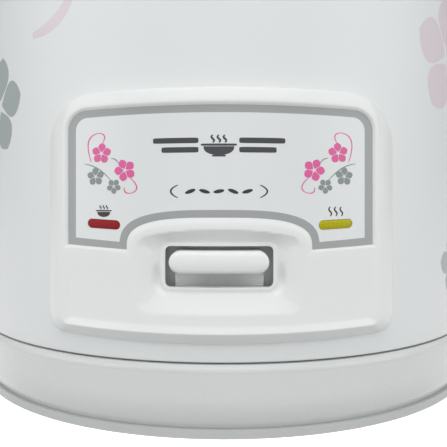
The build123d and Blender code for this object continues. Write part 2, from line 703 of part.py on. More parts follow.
# Inner shell: aluminium can that surrounds the pot
def inner_shell():
    can = ring(LINER_OUT, LINER_R, LINER_UNDER, LINER_TOP)
    can += ring(LINER_OUT, LINER_HOLE_R, LINER_UNDER, LINER_FLOOR_Z)
    can += ring(LINER_FLANGE_R, LINER_R, LINER_TOP - LINER_T, LINER_TOP)
    can -= slab(-LATCH_NOTCH, LATCH_NOTCH, -LINER_FLANGE_R - 1, -LINER_OUT - 0.5,
                LINER_TOP - LINER_T, LINER_TOP)
    can -= around(rod_z(STUD_R + FIT, 0, 0, LINER_UNDER, LINER_FLOOR_Z), STUD_RING_R, STUDS)
    can -= around(rod_z(SCREW_R + FIT, 0, 0, LINER_UNDER, LINER_FLOOR_Z), TOP_SCREW_R, SIDES)
    can -= around(rod_z(SCREW_R + FIT, 0, 0, LINER_TOP - LINER_T, LINER_TOP), LINER_SCREW_R, CORNERS)
    return can


def liner_screws():
    piece = Rot(180, 0, 0) * screw(SMALL_HEAD_R, SMALL_HEAD_H, LINER_T + LINER_SCREW_L)
    piece = Pos(0, 0, LINER_TOP - LINER_T) * piece
    return around(piece, LINER_SCREW_R, CORNERS)


def warming_band():
    return ring(LINER_OUT + SEAT + BAND_T, LINER_OUT + SEAT, BAND_Z0, BAND_Z0 + BAND_H)


# Heating plate: cast disc with the heater ring in its underside
def heating_plate():
    plate = disc(PLATE_R, PLATE_Z0, PLATE_Z1) - disc(PLATE_HOLE_R, PLATE_Z0, PLATE_Z1)
    edge = plate.edges().filter_by(GeomType.CIRCLE).sort_by(SortBy.RADIUS)[-2:]
    plate = fillet(edge.sort_by(Axis.Z)[-1:], PLATE_ROUND)
    heater = Pos(0, 0, PLATE_Z0) * Torus(HEATER_R, HEATER_TUBE_R)
    plate = plate + heater
    tail = slab(-TAIL_W / 2, TAIL_W / 2, -TAIL_T / 2, TAIL_T / 2, PLATE_Z0 - TAIL_L, PLATE_Z0)
    plate += around(tail, HEATER_R, TAIL_TURNS)
    plate -= around(rod_z(STUD_R + FIT, 0, 0, PLATE_Z0, PLATE_Z0 + STUD_BORE), STUD_RING_R, STUDS)
    return plate


def plate_spacers():
    piece = ring(STUD_R + SPACER_WALL, STUD_R + FIT, LINER_FLOOR_Z, PLATE_Z0)
    return around(piece, STUD_RING_R, STUDS)


# Studs with their nuts under the inner shell
def plate_studs():
    nut = Pos(0, 0, LINER_UNDER) * extrude(RegularPolygon(STUD_R + NUT_WALL, 6), -NUT_H)
    foot = LINER_UNDER - NUT_H - STUD_END
    piece = nut + rod_z(STUD_R, 0, 0, foot, PLATE_Z0 + STUD_BORE - STUD_GAP)
    return around(piece, STUD_RING_R, STUDS)


# Inner pot: drawn bowl with a flat rim
def inner_pot():
    def bowl(radius, z0, corner):
        return [
            Line((0, 0, z0), (radius - corner, 0, z0)),
            TangentArc((radius - corner, 0, z0), (radius, 0, z0 + corner), tangent=(1, 0, 0)),
            Polyline((radius, 0, z0 + corner), (radius, 0, RIM_Z), (0, 0, RIM_Z), (0, 0, z0)),
        ]
    pot = turned(bowl(POT_R, POT_Z0, POT_CORNER))
    rim = disc(POT_FLANGE_R, RIM_Z - POT_T, RIM_Z)
    return pot + rim - turned(bowl(POT_R - POT_T, POT_Z0 + POT_T, POT_CORNER - POT_T))


# Thermostat case: tube hung from the heating plate
def thermostat_case():
    top = CAP_TOP - CAP_T - SENSOR_TRAVEL - 2 * CLEAR
    case = ring(CASE_R, CASE_R - CASE_T, CASE_FLOOR_Z, top)
    case += ring(CASE_R, ROD_R + CLEAR, CASE_FLOOR_Z, CASE_FLOOR_Z + CASE_T)
    case += ring(CASE_FLANGE_R, CASE_R - CASE_T / 2, PLATE_Z0 - CASE_FLANGE_T, PLATE_Z0)
    return case


def sensor_cap():
    cap = disc(CAP_R, CAP_TOP - CAP_SKIRT, CAP_TOP)
    return cap - disc(CAP_R - CAP_T, CAP_TOP - CAP_SKIRT, CAP_TOP - CAP_T)


def ferrite():
    return disc(FERRITE_R, FERRITE_Z0, FERRITE_Z0 + FERRITE_T)


def sensor_spring():
    floor = CASE_FLOOR_Z + CASE_T
    coil_r = CASE_R - CASE_T - CLEAR - SPRING_WIRE_R
    return Pos(0, 0, floor) * spring(coil_r, SPRING_WIRE_R, CAP_TOP - CAP_T - floor, SENSOR_TURNS)


def magnet():
    return disc(MAGNET_R, MAGNET_Z1 - MAGNET_T, MAGNET_Z1)


# Pull rod with two collars that the lever's fork lies between
def pull_rod():
    rod = disc(ROD_R, FORK_Z - ARM_T - FORK_ROOM - ROD_END, MAGNET_Z1 - MAGNET_T)
    upper = FORK_Z + ARM_T / 2 + FORK_ROOM
    lower = FORK_Z - ARM_T / 2 - FORK_ROOM
    return rod + disc(COLLAR_R, upper, upper + COLLAR_T) + disc(COLLAR_R, lower - COLLAR_T, lower)


# Bracket under the inner shell that holds the lever's pivot
def lever_bracket():
    front = PIVOT_Y - BRACKET_FRONT
    back = PIVOT_Y + BRACKET_BACK
    plate = slab(-BRACKET_HALF, BRACKET_HALF, front, back, LINER_UNDER - BRACKET_T, LINER_UNDER)
    for side in (-1, 1):
        inner, outer = sorted((side * (BRACKET_HALF - BRACKET_T), side * BRACKET_HALF))
        plate += slab(inner, outer, PIVOT_Y - CHEEK, back, PIVOT_Z - CHEEK, LINER_UNDER)
    return plate - rod_x(LEVER_PIN_R + FIT, -BRACKET_HALF, BRACKET_HALF, PIVOT_Y, PIVOT_Z)


def lever_pin():
    end = BRACKET_HALF + PIN_END
    pin = rod_x(LEVER_PIN_R, -end, end, PIVOT_Y, PIVOT_Z)
    pin += rod_x(LEVER_PIN_R + PIN_HEAD, -end, -BRACKET_HALF - SEAT, PIVOT_Y, PIVOT_Z)
    return pin + rod_x(LEVER_PIN_R + PIN_HEAD, BRACKET_HALF + SEAT, end, PIVOT_Y, PIVOT_Z)


# Lever: bent steel strip from the knob under the inner shell to the thermostat's rod
def lever_arm():
    low = PIVOT_Z - ARM_DROP
    spine = Polyline((RISER_Y, STEM_Z), (RISER_Y, low), (PIVOT_Y, low),
                     (-FORK_START, FORK_Z), (FORK_END, FORK_Z))
    side = make_face(offset(spine, ARM_T / 2).edges())
    plane = Plane((-ARM_W / 2, 0, 0), x_dir=(0, 1, 0), z_dir=(1, 0, 0))
    arm = extrude(plane * side, amount=ARM_W)
    hub = BRACKET_HALF - BRACKET_T - CLEAR
    arm += rod_x(LEVER_PIN_R + HUB_WALL, -hub, hub, PIVOT_Y, PIVOT_Z)
    arm -= rod_x(LEVER_PIN_R + FIT, -hub, hub, PIVOT_Y, PIVOT_Z)
    slot = ROD_R + 2 * CLEAR
    swing = (PIVOT_Z - FORK_Z) * math.sin(LEVER_TURN)
    return arm - slab(-slot, slot, -slot - swing, FORK_END + ARM_T, FORK_Z - 2 * ARM_T, FORK_Z + 2 * ARM_T)


# Knob: rounded bar, a neck through the slot, a plate that closes the slot from behind and a clip
def switch_knob():
    front = KNOB_Y - KNOB_DEPTH / 2
    back = front + KNOB_DEPTH
    bar = front_prism(stadium(KNOB_W, KNOB_H, 0, KNOB_Z), front, back)
    bar = fillet(bar.faces().sort_by(Axis.Y)[0].edges(), KNOB_ROUND)
    plate_y = DISH_Y + DISH_SKIN + SKIRT_GAP
    neck = slab(-NECK_HALF, NECK_HALF, back - 1, plate_y + 1, KNOB_Z0 + NECK_EDGE, KNOB_Z1 - NECK_EDGE)
    plate = slab(-SKIRT_HALF, SKIRT_HALF, plate_y, plate_y + SKIRT_T, SLOT_Z0 - SKIRT_LAP, KNOB_Z1)
    clip = slab(-CLIP_HALF, CLIP_HALF, plate_y, RISER_Y + CLIP_WALL, STEM_Z - CLIP_DOWN, STEM_Z + CLIP_UP)
    knob = bar + neck + plate + clip
    return knob - slab(-ARM_W / 2 - FIT, ARM_W / 2 + FIT, RISER_Y - ARM_T / 2 - FIT,
                       RISER_Y + ARM_T / 2 + FIT, STEM_Z - CLIP_DOWN - 1, STEM_Z + ARM_T / 2 + FIT)


# Snap-action switch beside the lever, hung from the bracket's level
def micro_switch():
    x0 = BRACKET_HALF + SWITCH_GAP
    x = x0 + SWITCH_W / 2
    foot = LINER_UNDER - SWITCH_H
    body = slab(x0, x0 + SWITCH_W, PIVOT_Y - SWITCH_FRONT, PIVOT_Y + SWITCH_BACK, foot, LINER_UNDER)
    for y in (PIVOT_Y, PIVOT_Y + TAB_PITCH):
        body += slab(x - TAB_HALF, x + TAB_HALF, y - TAB_T / 2, y + TAB_T / 2, foot - TAB_L, foot)
    return body


# Panel: raised plate on the sleeve with a dished switch recess and a sunk field for the label
def panel_bezel():
    shape = panel_outline(PANEL_HALF, PANEL_Z0, PANEL_Z1, PANEL_FOOT_R, PANEL_TOP_R)
    plate = front_prism(shape, -PANEL_R - 1, FRONT_DEEP) & ring(PANEL_R, PANEL_BACK, 0, PANEL_Z1 + 1)
    face = plate.faces().filter_by(GeomType.CYLINDER).sort_by(SortBy.AREA)[-1]
    plate = fillet(face.edges(), PANEL_EDGE)
    within = front_prism(window(-CLEAR - FRAME_WALL), -PANEL_R, FRONT_DEEP)
    frame = front_prism(window(-CLEAR), -PANEL_R, FRONT_DEEP) - within
    plate += frame & ring(PANEL_BACK + 0.5, BODY_R - FRAME_DEPTH, 0, PANEL_Z1)
    roof = PANEL_R - PANEL_SKIN
    half = SLOT_HALF + DISH_BLOCK_OUT
    block = slab(-half, half, -PANEL_R, DISH_Y + DISH_SKIN,
                 SLOT_Z0 - DISH_BLOCK_OUT, SLOT_Z1 + DISH_BLOCK_UP)
    plate -= (within & disc(roof, 0, PANEL_Z1)) - block
    plate += block & disc(roof + 0.5, 0, PANEL_Z1)
    sunk = LABEL_R - LABEL_T - FIT
    plate -= front_prism(label_outline(FIT), -PANEL_R - 1, FRONT_DEEP) - disc(sunk, 0, PANEL_Z1)
    plate -= dish()
    plate -= front_prism(slot_outline(), -PANEL_R, FRONT_DEEP)
    for x in (-LENS_X, LENS_X):
        plate -= lens_form(x, 2 * FIT, FRONT_DEEP)
        post = rod_y(POST_R, x, -PANEL_R, LAMP_Y, LENS_Z + POST_UP)
        plate += post & disc(roof + 0.5, 0, PANEL_Z1)
    return plate - panel_holes(PANEL_BACK - 1, PANEL_BACK + PANEL_SCREW_L + SEAT * 2, SCREW_R + FIT)


def lens_form(x, grow, back):
    """Stadium of a lens, pushed back from in front of the panel."""
    return front_prism(stadium(LENS_W + grow, LENS_H + grow, x, LENS_Z), -PANEL_R, back)


def slot_outline():
    return panel_outline(SLOT_HALF, SLOT_Z0, SLOT_Z1, SLOT_CORNER, SLOT_CORNER)


# Funnel of the switch recess, from the rim of the slot out past the panel's front
def dish():
    def level(depth):
        half = SLOT_HALF + DISH_RIM + DISH_SIDE * depth
        foot = SLOT_Z0 - DISH_RIM - DISH_LOWER * depth
        top = SLOT_Z1 + DISH_RIM + DISH_UPPER * depth
        sketch = panel_outline(half, foot, top, SLOT_CORNER + depth, SLOT_CORNER + depth)
        plane = Plane((0, DISH_Y - depth, 0), x_dir=(1, 0, 0), z_dir=(0, -1, 0))
        return plane * sketch
    return loft([level(0), level(DISH_FLOOR + 1)], ruled=True)


def label_outline(grow):
    half = LABEL_HALF
    sketch = make_face(Polyline((-half, LABEL_FOOT_OUT), (-ARCH_HALF, LABEL_FOOT_IN),
                                (-ARCH_HALF, ARCH_TOP), (ARCH_HALF, ARCH_TOP),
                                (ARCH_HALF, LABEL_FOOT_IN), (half, LABEL_FOOT_OUT),
                                (half, LABEL_TOP), (-half, LABEL_TOP), close=True))
    top = sketch.vertices().sort_by(Axis.Y)[-2:]
    sketch = fillet(top, LABEL_TOP_R)
    arch = [v for v in sketch.vertices() if abs(v.Y - ARCH_TOP) < 0.01 and abs(v.X) < half - 1]
    sketch = fillet(arch, ARCH_R)
    return offset(sketch, grow) if grow else sketch


# Label: thin curved plate let into the panel around the switch
def panel_label():
    label = front_prism(label_outline(0), -PANEL_R - 1, FRONT_DEEP)
    label = label & ring(LABEL_R, LABEL_R - LABEL_T, 0, PANEL_Z1)
    return label - [lens_form(x, 2 * FIT, FRONT_DEEP) for x in (-LENS_X, LENS_X)]


# Lens: light pipe through label and panel with a flange behind the panel's skin
def lens(x):
    roof = PANEL_R - PANEL_SKIN - SEAT
    back = LAMP_Y - LENS_DEPTH
    pipe = lens_form(x, 0, back) & disc(LABEL_R + LENS_PROUD, 0, PANEL_Z1)
    return pipe + (lens_form(x, LENS_FLANGE, back) & ring(roof, roof - LENS_FLANGE_T, 0, PANEL_Z1))


def panel_screws():
    pieces = []
    for x, z in PANEL_SCREWS:
        turn = math.degrees(math.asin(x / BODY_R))
        seat = Pos(0, -(BODY_R - SHELL_T - SEAT), z) * Rot(-90, 0, 0)
        pieces.append(Rot(0, 0, turn) * seat * screw(HEAD_R, HEAD_H, SHELL_T + 2 * SEAT + PANEL_SCREW_L))
    return pieces


# Two small boards behind the lenses, each on its post, and the neon lamps on them
def lamp_board():
    return [slab(x - BOARD_HALF, x + BOARD_HALF, LAMP_Y, LAMP_Y + BOARD_T,
                 LENS_Z - BOARD_DOWN, LENS_Z + BOARD_UP) for x in (-LENS_X, LENS_X)]


def neon_lamps():
    return [rod_y(LAMP_R, x, LAMP_Y - LENS_DEPTH + CLEAR, LAMP_Y, LENS_Z) for x in (-LENS_X, LENS_X)]


# Power inlet: recessed three-pin socket in a curved plate at the back of the sleeve
def power_inlet():
    shape = Pos(0, INLET_Z) * RectangleRounded(INLET_W, INLET_H, INLET_R)
    plate = front_prism(shape, -FRONT_DEEP, INLET_MOUTH + 1)
    plate = plate & ring(INLET_MOUTH, PANEL_BACK, 0, INLET_Z + INLET_H)
    half, rise = SOCKET_W / 2, SOCKET_H / 2
    box = slab(-half - SOCKET_WALL, half + SOCKET_WALL, INLET_BACK, INLET_MOUTH - 1,
               INLET_Z - rise - SOCKET_WALL, INLET_Z + rise + SOCKET_WALL)
    hollow = slab(-half, half, INLET_MOUTH - SOCKET_DEPTH, INLET_MOUTH + 1, INLET_Z - rise, INLET_Z + rise)
    inlet = plate + (box & disc(INLET_MOUTH - 0.5, 0, INLET_Z + INLET_H)) - hollow
    for x in INLET_SCREWS:
        inlet -= rod_y(SCREW_R + FIT, x, -FRONT_DEEP, INLET_MOUTH + 1, INLET_Z)
        inlet -= rod_y(INLET_SINK_R, x, INLET_SEAT_Y, INLET_MOUTH + 1, INLET_Z)
    return inlet - [pin_form(x, z, INLET_BACK, INLET_MOUTH) for x, z in INLET_PINS]


def pin_form(x, z, y0, y1):
    return slab(x - PIN_HALF_W, x + PIN_HALF_W, y0, y1, z - PIN_HALF_H, z + PIN_HALF_H)


def inlet_pins():
    return [pin_form(x, z, INLET_BACK - PIN_TAIL, INLET_MOUTH - PIN_SUNK) for x, z in INLET_PINS]


def inlet_screws():
    piece = Rot(-90, 0, 0) * screw(INLET_HEAD_R, SMALL_HEAD_H, INLET_SCREW_L)
    return [Pos(x, INLET_SEAT_Y, INLET_Z) * piece for x in INLET_SCREWS]


# Terminal block on the bottom cover with one bore for each wire
def terminal_block():
    block = slab(BLOCK_X - BLOCK_W / 2, BLOCK_X + BLOCK_W / 2, BLOCK_Y - BLOCK_D / 2,
                 BLOCK_Y + BLOCK_D / 2, COVER_TOP, BLOCK_TOP)
    return block - [rod_z(BLOCK_BORE_R, x, BLOCK_Y, BLOCK_TOP - BLOCK_BORE, BLOCK_TOP) for x in BLOCK_BORES]


# Thermal fuse: tube under the inner shell with the strap that holds it
def thermal_fuse():
    tube = rod_x(FUSE_R, FUSE_X - FUSE_L / 2, FUSE_X + FUSE_L / 2, FUSE_Y, FUSE_Z)
    return tube + slab(FUSE_X - FUSE_CLIP, FUSE_X + FUSE_CLIP, FUSE_Y - FUSE_CLIP_D,
                       FUSE_Y + FUSE_CLIP_D, LINER_UNDER - FUSE_CLIP_T, LINER_UNDER)


# Inner wires: straight runs joined by arcs as large as the runs allow
def wire(points):
    radii = []
    for before, here, after in zip(points, points[1:], points[2:]):
        first, second = Vector(here) - Vector(before), Vector(after) - Vector(here)
        half_turn = math.radians(first.get_angle(second)) / 2
        radii.append(WIRE_BEND * min(first.length, second.length) / math.tan(half_turn))
    path = FilletPolyline(*points, radius=radii)
    heading = Vector(points[1]) - Vector(points[0])
    return sweep(Plane(points[0], z_dir=heading) * Circle(WIRE_R), path=path)


def wiring():
    tail = INLET_BACK - PIN_TAIL
    (left_x, left_z), (right_x, right_z), (earth_x, earth_z) = INLET_PINS
    fuse_in, fuse_out = FUSE_X - FUSE_L / 2, FUSE_X + FUSE_L / 2
    heater_x = HEATER_R * math.cos(math.radians(TAIL_TURNS[0]))
    heater_y = HEATER_R * math.sin(math.radians(TAIL_TURNS[0]))
    heater_z = PLATE_Z0 - TAIL_L
    live, load, lamp = BLOCK_BORES
    nut_z = LINER_UNDER - NUT_H - STUD_END
    switch_x = BRACKET_HALF + SWITCH_GAP + SWITCH_W / 2
    switch_z = LINER_UNDER - SWITCH_H - TAB_L
    drop = WIRE_DROP
    turn = FUSE_Y + drop
    routes = [
        [(left_x, tail, left_z), (left_x, tail - drop, left_z), (fuse_out, turn, FUSE_Z - drop),
         (fuse_in, turn, FUSE_Z - drop), (fuse_in - drop, FUSE_Y, FUSE_Z), (fuse_in, FUSE_Y, FUSE_Z)],
        [(fuse_out, FUSE_Y, FUSE_Z), (fuse_out + drop, FUSE_Y, FUSE_Z),
         ((fuse_out - heater_x) / 2, heater_y, heater_z - drop), (-heater_x, heater_y, heater_z - drop),
         (-heater_x, heater_y, heater_z)],
        [(right_x, tail, right_z), (right_x, tail - drop, right_z),
         (live - drop, BLOCK_Y, BLOCK_TOP + 1.5 * drop), (live, BLOCK_Y, BLOCK_TOP + drop),
         (live, BLOCK_Y, BLOCK_TOP)],
        [(load, BLOCK_Y, BLOCK_TOP), (load, BLOCK_Y, BLOCK_TOP + drop),
         ((load + heater_x) / 2, heater_y, heater_z - drop), (heater_x, heater_y, heater_z - drop),
         (heater_x, heater_y, heater_z)],
        [(lamp, BLOCK_Y, BLOCK_TOP), (lamp, BLOCK_Y, BLOCK_TOP + drop),
         (lamp, BLOCK_Y / 2, BLOCK_TOP + 1.5 * drop), (lamp, PIVOT_Y / 2, switch_z - drop),
         (switch_x, PIVOT_Y, switch_z - drop), (switch_x, PIVOT_Y, switch_z)],
        [(earth_x, tail, earth_z), (earth_x, tail - drop, earth_z), (earth_x, STUD_RING_R, nut_z - drop),
         (earth_x, STUD_RING_R, nut_z)],
    ]
    return [wire(route) for route in routes]


# Top ring: moulded collar with hinge lugs, handle bosses, latch pocket and rails for the cup
def top_ring():
    inner = POT_R + LEDGE_CLEAR
    step = POT_FLANGE_R + LEDGE_CLEAR
    groove = BODY_R + CLEAR
    profile = [
        Polyline((RING_R, 0, RING_Z1 - RING_ROUND), (RING_R, 0, RING_Z0), (groove, 0, RING_Z0),
                 (groove, 0, SHELL_TOP + SEAT), (RING_IN, 0, SHELL_TOP + SEAT), (RING_IN, 0, WEB_Z0),
                 (inner, 0, WEB_Z0), (inner, 0, LEDGE_Z), (step, 0, LEDGE_Z), (step, 0, RING_Z1),
                 (RING_R - RING_ROUND, 0, RING_Z1)),
        TangentArc((RING_R - RING_ROUND, 0, RING_Z1), (RING_R, 0, RING_Z1 - RING_ROUND), tangent=(1, 0, 0)),
    ]
    collar = turned(profile)
    lug_in = KNUCKLE_W / 2 + CLEAR
    wall_y = RING_R - 1
    for side in (-1, 1):
        x0, x1 = sorted((side * lug_in, side * (lug_in + LUG_W)))
        root = slab(x0, x1, -FRONT_DEEP, HINGE_Y + KNUCKLE_R, RING_Z0, RING_Z1 - RING_ROUND)
        collar += root - disc(RING_IN + 1, RING_Z0, RING_Z1)
        collar += slab(x0, x1, wall_y, HINGE_Y + KNUCKLE_R, RING_Z1 - RING_ROUND, HINGE_Z)
        collar += rod_x(KNUCKLE_R, x0, x1, HINGE_Y, HINGE_Z)
        rail = slab(*sorted((side * (CUP_W / 2 + CLEAR), side * lug_in)), wall_y, HINGE_Y + KNUCKLE_R,
                    CUP_TOP - CUP_RAIL - CLEAR - RAIL_T, CUP_TOP - CUP_RAIL - CLEAR)
        collar += rail
        boss = rod_x(HANDLE_EYE_R - 1, *sorted((side * (RING_IN + 1), side * (HANDLE_IN - CLEAR))),
                     HANDLE_Y, HANDLE_Z)
        collar += boss
        collar -= rod_x(HANDLE_PIN_R + FIT, *sorted((side * (RING_IN - 3), side * HANDLE_OUT)),
                        HANDLE_Y, HANDLE_Z)
    collar -= ring(BODY_R + CLEAR, RING_IN + 0.4, RING_Z0, SHELL_TOP + SEAT)
    reach = lug_in + LUG_W
    collar -= rod_x(HINGE_PIN_R + FIT, -reach, reach, HINGE_Y, HINGE_Z)
    half = LATCH_W / 2 + CLEAR
    collar -= slab(-half, half, -RING_R - 1, -RING_IN + 6, LATCH_Z0 - CLEAR, LATCH_Z0 + LATCH_H + CLEAR)
    collar += slab(-LATCH_STOP_HALF, LATCH_STOP_HALF, LATCH_SEAT_Y, LATCH_SEAT_Y + LATCH_STOP_T,
                   LATCH_Z0, WEB_Z0 + 1)
    hook = HOOK_W / 2 + CLEAR
    collar -= slab(-hook, hook, LATCH_BACK - HOOK_T - CLEAR, LATCH_BACK + LATCH_TRAVEL + CLEAR,
                   WEB_Z0 - 1, RING_Z1 + 1)
    collar -= around(rod_z(SCREW_R + FIT, 0, 0, WEB_Z0, WEB_Z0 + WEB_BORE), LINER_SCREW_R, CORNERS)
    return collar


# Latch button: push plate with a hook that rises beside the lid's catch
def latch_button():
    z0, z1 = LATCH_Z0, LATCH_Z0 + LATCH_H
    plate = slab(-LATCH_W / 2, LATCH_W / 2, -RING_R - LATCH_PROUD, LATCH_BACK, z0, z1)
    plate = fillet(plate.faces().sort_by(Axis.Y)[0].edges(), LATCH_ROUND)
    flange = slab(-LATCH_W / 2 - FLANGE_LAP, LATCH_W / 2 + FLANGE_LAP, LATCH_BACK - FLANGE_LAP,
                  LATCH_BACK, z0 - FLANGE_RISE, z1 + FLANGE_RISE)
    hook = slab(-HOOK_W / 2, HOOK_W / 2, LATCH_BACK - HOOK_T, LATCH_BACK, z1 - 1, RING_Z1 + HOOK_RISE)
    nose = slab(-HOOK_W / 2, HOOK_W / 2, LATCH_BACK - HOOK_T - HOOK_NOSE, LATCH_BACK,
                RING_Z1 + HOOK_RISE - HOOK_NOSE_H, RING_Z1 + HOOK_RISE)
    return plate + flange + hook + nose


def latch_spring():
    coil = spring(LATCH_COIL_R, LATCH_WIRE_R, LATCH_SPRING_L - 2 * FIT, LATCH_TURNS)
    return Pos(0, LATCH_BACK + FIT, LATCH_Z0 + LATCH_H / 2) * Rot(-90, 0, 0) * coil


# Solid bounded by the lid's dome, shoulder and band, moved in by the wall
def lid_form(inset, z0):
    rim = LID_R - inset
    shoulder = LID_SHOULDER - inset
    crown_r = LID_R - LID_SHOULDER + shoulder * math.sin(CROWN)
    crown_z = SHOULDER_Z + shoulder * math.cos(CROWN)
    top = LID_TOP - inset
    return turned([
        Polyline((0, 0, top), (0, 0, z0), (rim, 0, z0), (rim, 0, SHOULDER_Z)),
        TangentArc((rim, 0, SHOULDER_Z), (crown_r, 0, crown_z), tangent=(0, 0, 1)),
        TangentArc((0, 0, top), (crown_r, 0, crown_z), tangent=(1, 0, 0)),
    ])


# Lid: moulded dome with the vent well, the hinge knuckle and a catch for the latch
def lid_outer():
    inside = lid_form(LID_T, LID_Z)
    lid = lid_form(0, LID_Z) - inside
    well = rod_z(VENT_WELL_R + VENT_WALL, 0, VENT_Y, FRAME_Z1 + SEAT, VENT_TOP - 2)
    lid += well + (rod_z(VENT_BOSS_R, 0, VENT_Y, SHOULDER_Z, VENT_TOP) - inside)
    lid -= rod_z(VENT_WELL_R, 0, VENT_Y, FRAME_Z1, VENT_TOP + 1)
    half = KNUCKLE_W / 2
    web = slab(-half, half, LID_R - WEB_IN, HINGE_Y, LID_Z, HINGE_Z + KNUCKLE_R - 1) - inside
    lid += web + rod_x(KNUCKLE_R, -half, half, HINGE_Y, HINGE_Z)
    lid -= rod_x(HINGE_PIN_R + FIT, -half, half, HINGE_Y, HINGE_Z)
    for x, y in LID_SCREWS:
        lid += rod_z(LID_BOSS_R, x, y, FRAME_Z1 + SEAT, LID_TOP) & lid_form(LID_T / 2, LID_Z)
        lid -= rod_z(SCREW_R + FIT, x, y, FRAME_Z1, FRAME_Z1 + LID_BORE)
    return lid


# Inner frame: closes the dome from below
def lid_inner():
    frame = disc(LID_R - LID_T - CLEAR, FRAME_Z0, FRAME_Z1)
    frame -= rod_z(STEAM_HOLE_R, 0, VENT_Y, FRAME_Z0, FRAME_Z1)
    frame -= rod_z(KNOB_PIN_R + FIT, 0, 0, FRAME_Z0, FRAME_Z1)
    half = HOOK_W / 2 + FRAME_T
    frame -= slab(-half, half, -LID_R, LATCH_BACK + LATCH_TRAVEL + FRAME_T, FRAME_Z0, FRAME_Z1)
    return frame - [rod_z(SCREW_R + FIT, x, y, FRAME_Z0, FRAME_Z1) for x, y in LID_SCREWS]


def lid_screws():
    piece = Rot(180, 0, 0) * screw(INLET_HEAD_R, LID_HEAD_H, FRAME_T + LID_SCREW_L)
    return [Pos(x, y, FRAME_Z0) * piece for x, y in LID_SCREWS]


# Detachable inner cover with steam holes, its rubber retaining knob and the seal around it
def inner_cover():
    z0, z1 = COVER_PLATE_Z0, COVER_PLATE_Z0 + COVER_PLATE_T
    cover = disc(COVER_PLATE_R, z0, z1) - disc(KNOB_PIN_R + FIT, z0, z1)
    hole = rod_z(COVER_HOLE_R, 0, 0, z0, z1)
    cover -= [Pos(0, VENT_Y, 0) * copy for copy in around(hole, COVER_HOLE_RING, COVER_HOLES)]
    return cover - [rod_z(INLET_HEAD_R + 2 * CLEAR, x, y, z0, z1) for x, y in LID_SCREWS]


def cover_knob():
    grip = disc(GRIP_R, COVER_PLATE_Z0 - GRIP_H, COVER_PLATE_Z0 - SEAT)
    pin = disc(KNOB_PIN_R, COVER_PLATE_Z0 - GRIP_H / 2, FRAME_Z1 + GRIP_TIP)
    return grip + pin + disc(KNOB_PIN_R + GRIP_BARB, FRAME_Z1 + SEAT, FRAME_Z1 + GRIP_BARB_H)


def lid_gasket():
    inner = COVER_PLATE_R - GASKET_LAP
    seal = ring(inner + GASKET_W, inner, GASKET_Z0, GASKET_Z0 + GASKET_T)
    return seal - disc(COVER_PLATE_R + FIT, COVER_PLATE_Z0 - FIT, COVER_PLATE_Z0 + COVER_PLATE_T + FIT)


# Lift-out steam vent: slotted cap on a cup that sits in the lid's well
def vent_cap():
    z0 = VENT_TOP + SEAT
    z1 = z0 + VENT_CAP_H
    foot = z0 - VENT_CUP_H
    cap = rod_z(VENT_CAP_R, 0, VENT_Y, z0, z1)
    cap = fillet(cap.edges().filter_by(GeomType.CIRCLE).sort_by(Axis.Z)[-1:], VENT_CAP_ROUND)
    cap += rod_z(VENT_CUP_R, 0, VENT_Y, foot, z0 + 1)
    cap -= rod_z(VENT_CUP_R - VENT_WALL, 0, VENT_Y, foot + VENT_WALL, z1 - VENT_ROOF)
    cap -= rod_z(STEAM_HOLE_R, 0, VENT_Y, foot - 1, z0)
    cap -= seal_form(VENT_CUP_R + 1)
    for step in STEAM_SLOTS:
        half = STEAM_SLOT_HALF - STEAM_SLOT_STEP * abs(step)
        y = VENT_Y + STEAM_SLOT_PITCH * step
        cap -= slab(-half, half, y - STEAM_SLOT_W / 2, y + STEAM_SLOT_W / 2, z1 - VENT_ROOF - 1, z1 + 1)
    return cap


def seal_form(outer):
    """Ring in the groove of the vent's cup."""
    groove = rod_z(VENT_CUP_R - SEAL_BITE, 0, VENT_Y, SEAL_Z, SEAL_Z + SEAL_H)
    return rod_z(outer, 0, VENT_Y, SEAL_Z, SEAL_Z + SEAL_H) - groove


def vent_seal():
    return seal_form(VENT_WELL_R - CLEAR)


def hinge_pin():
    reach = KNUCKLE_W / 2 + CLEAR + LUG_W
    end = reach + SEAT + HINGE_HEAD
    pin = rod_x(HINGE_PIN_R, -end, reach + CLEAR, HINGE_Y, HINGE_Z)
    return pin + rod_x(HINGE_PIN_R + HINGE_HEAD, -end, -reach - SEAT, HINGE_Y, HINGE_Z)


# Carry handle: flat moulded bail, folded back around the body at rest
def carry_handle():
    outer = RectangleRounded(2 * HANDLE_OUT, 2 * HANDLE_BACK, HANDLE_CORNER)
    inner = RectangleRounded(2 * HANDLE_IN, 2 * (HANDLE_BACK - HANDLE_T), HANDLE_CORNER - HANDLE_T)
    bail = Pos(0, 0, HANDLE_Z - HANDLE_H / 2) * extrude(outer - inner, HANDLE_H)
    bail -= slab(-HANDLE_OUT - 1, HANDLE_OUT + 1, -HANDLE_BACK - 1, HANDLE_Y, 0, HANDLE_Z + HANDLE_H)
    rims = [edge for edge in bail.edges() if edge.bounding_box().size.Z < 0.01]
    bail = fillet([edge for edge in rims if edge.center().Y > HANDLE_Y + 0.1], HANDLE_ROUND)
    for side in (-1, 1):
        x0, x1 = sorted((side * HANDLE_IN, side * HANDLE_OUT))
        bail += rod_x(HANDLE_EYE_R, x0, x1, HANDLE_Y, HANDLE_Z)
    return bail - rod_x(HANDLE_PIN_R + FIT, -HANDLE_OUT - 1, HANDLE_OUT + 1, HANDLE_Y, HANDLE_Z)


def handle_pins():
    pins = []
    for side in (-1, 1):
        head = HANDLE_OUT + CLEAR
        pin = rod_x(HANDLE_PIN_R, *sorted((side * (RING_IN - 2), side * (head + 1))), HANDLE_Y, HANDLE_Z)
        pin += rod_x(PIN_HEAD_R, *sorted((side * head, side * (head + PIN_HEAD_T))), HANDLE_Y, HANDLE_Z)
        pins.append(pin)
    return pins


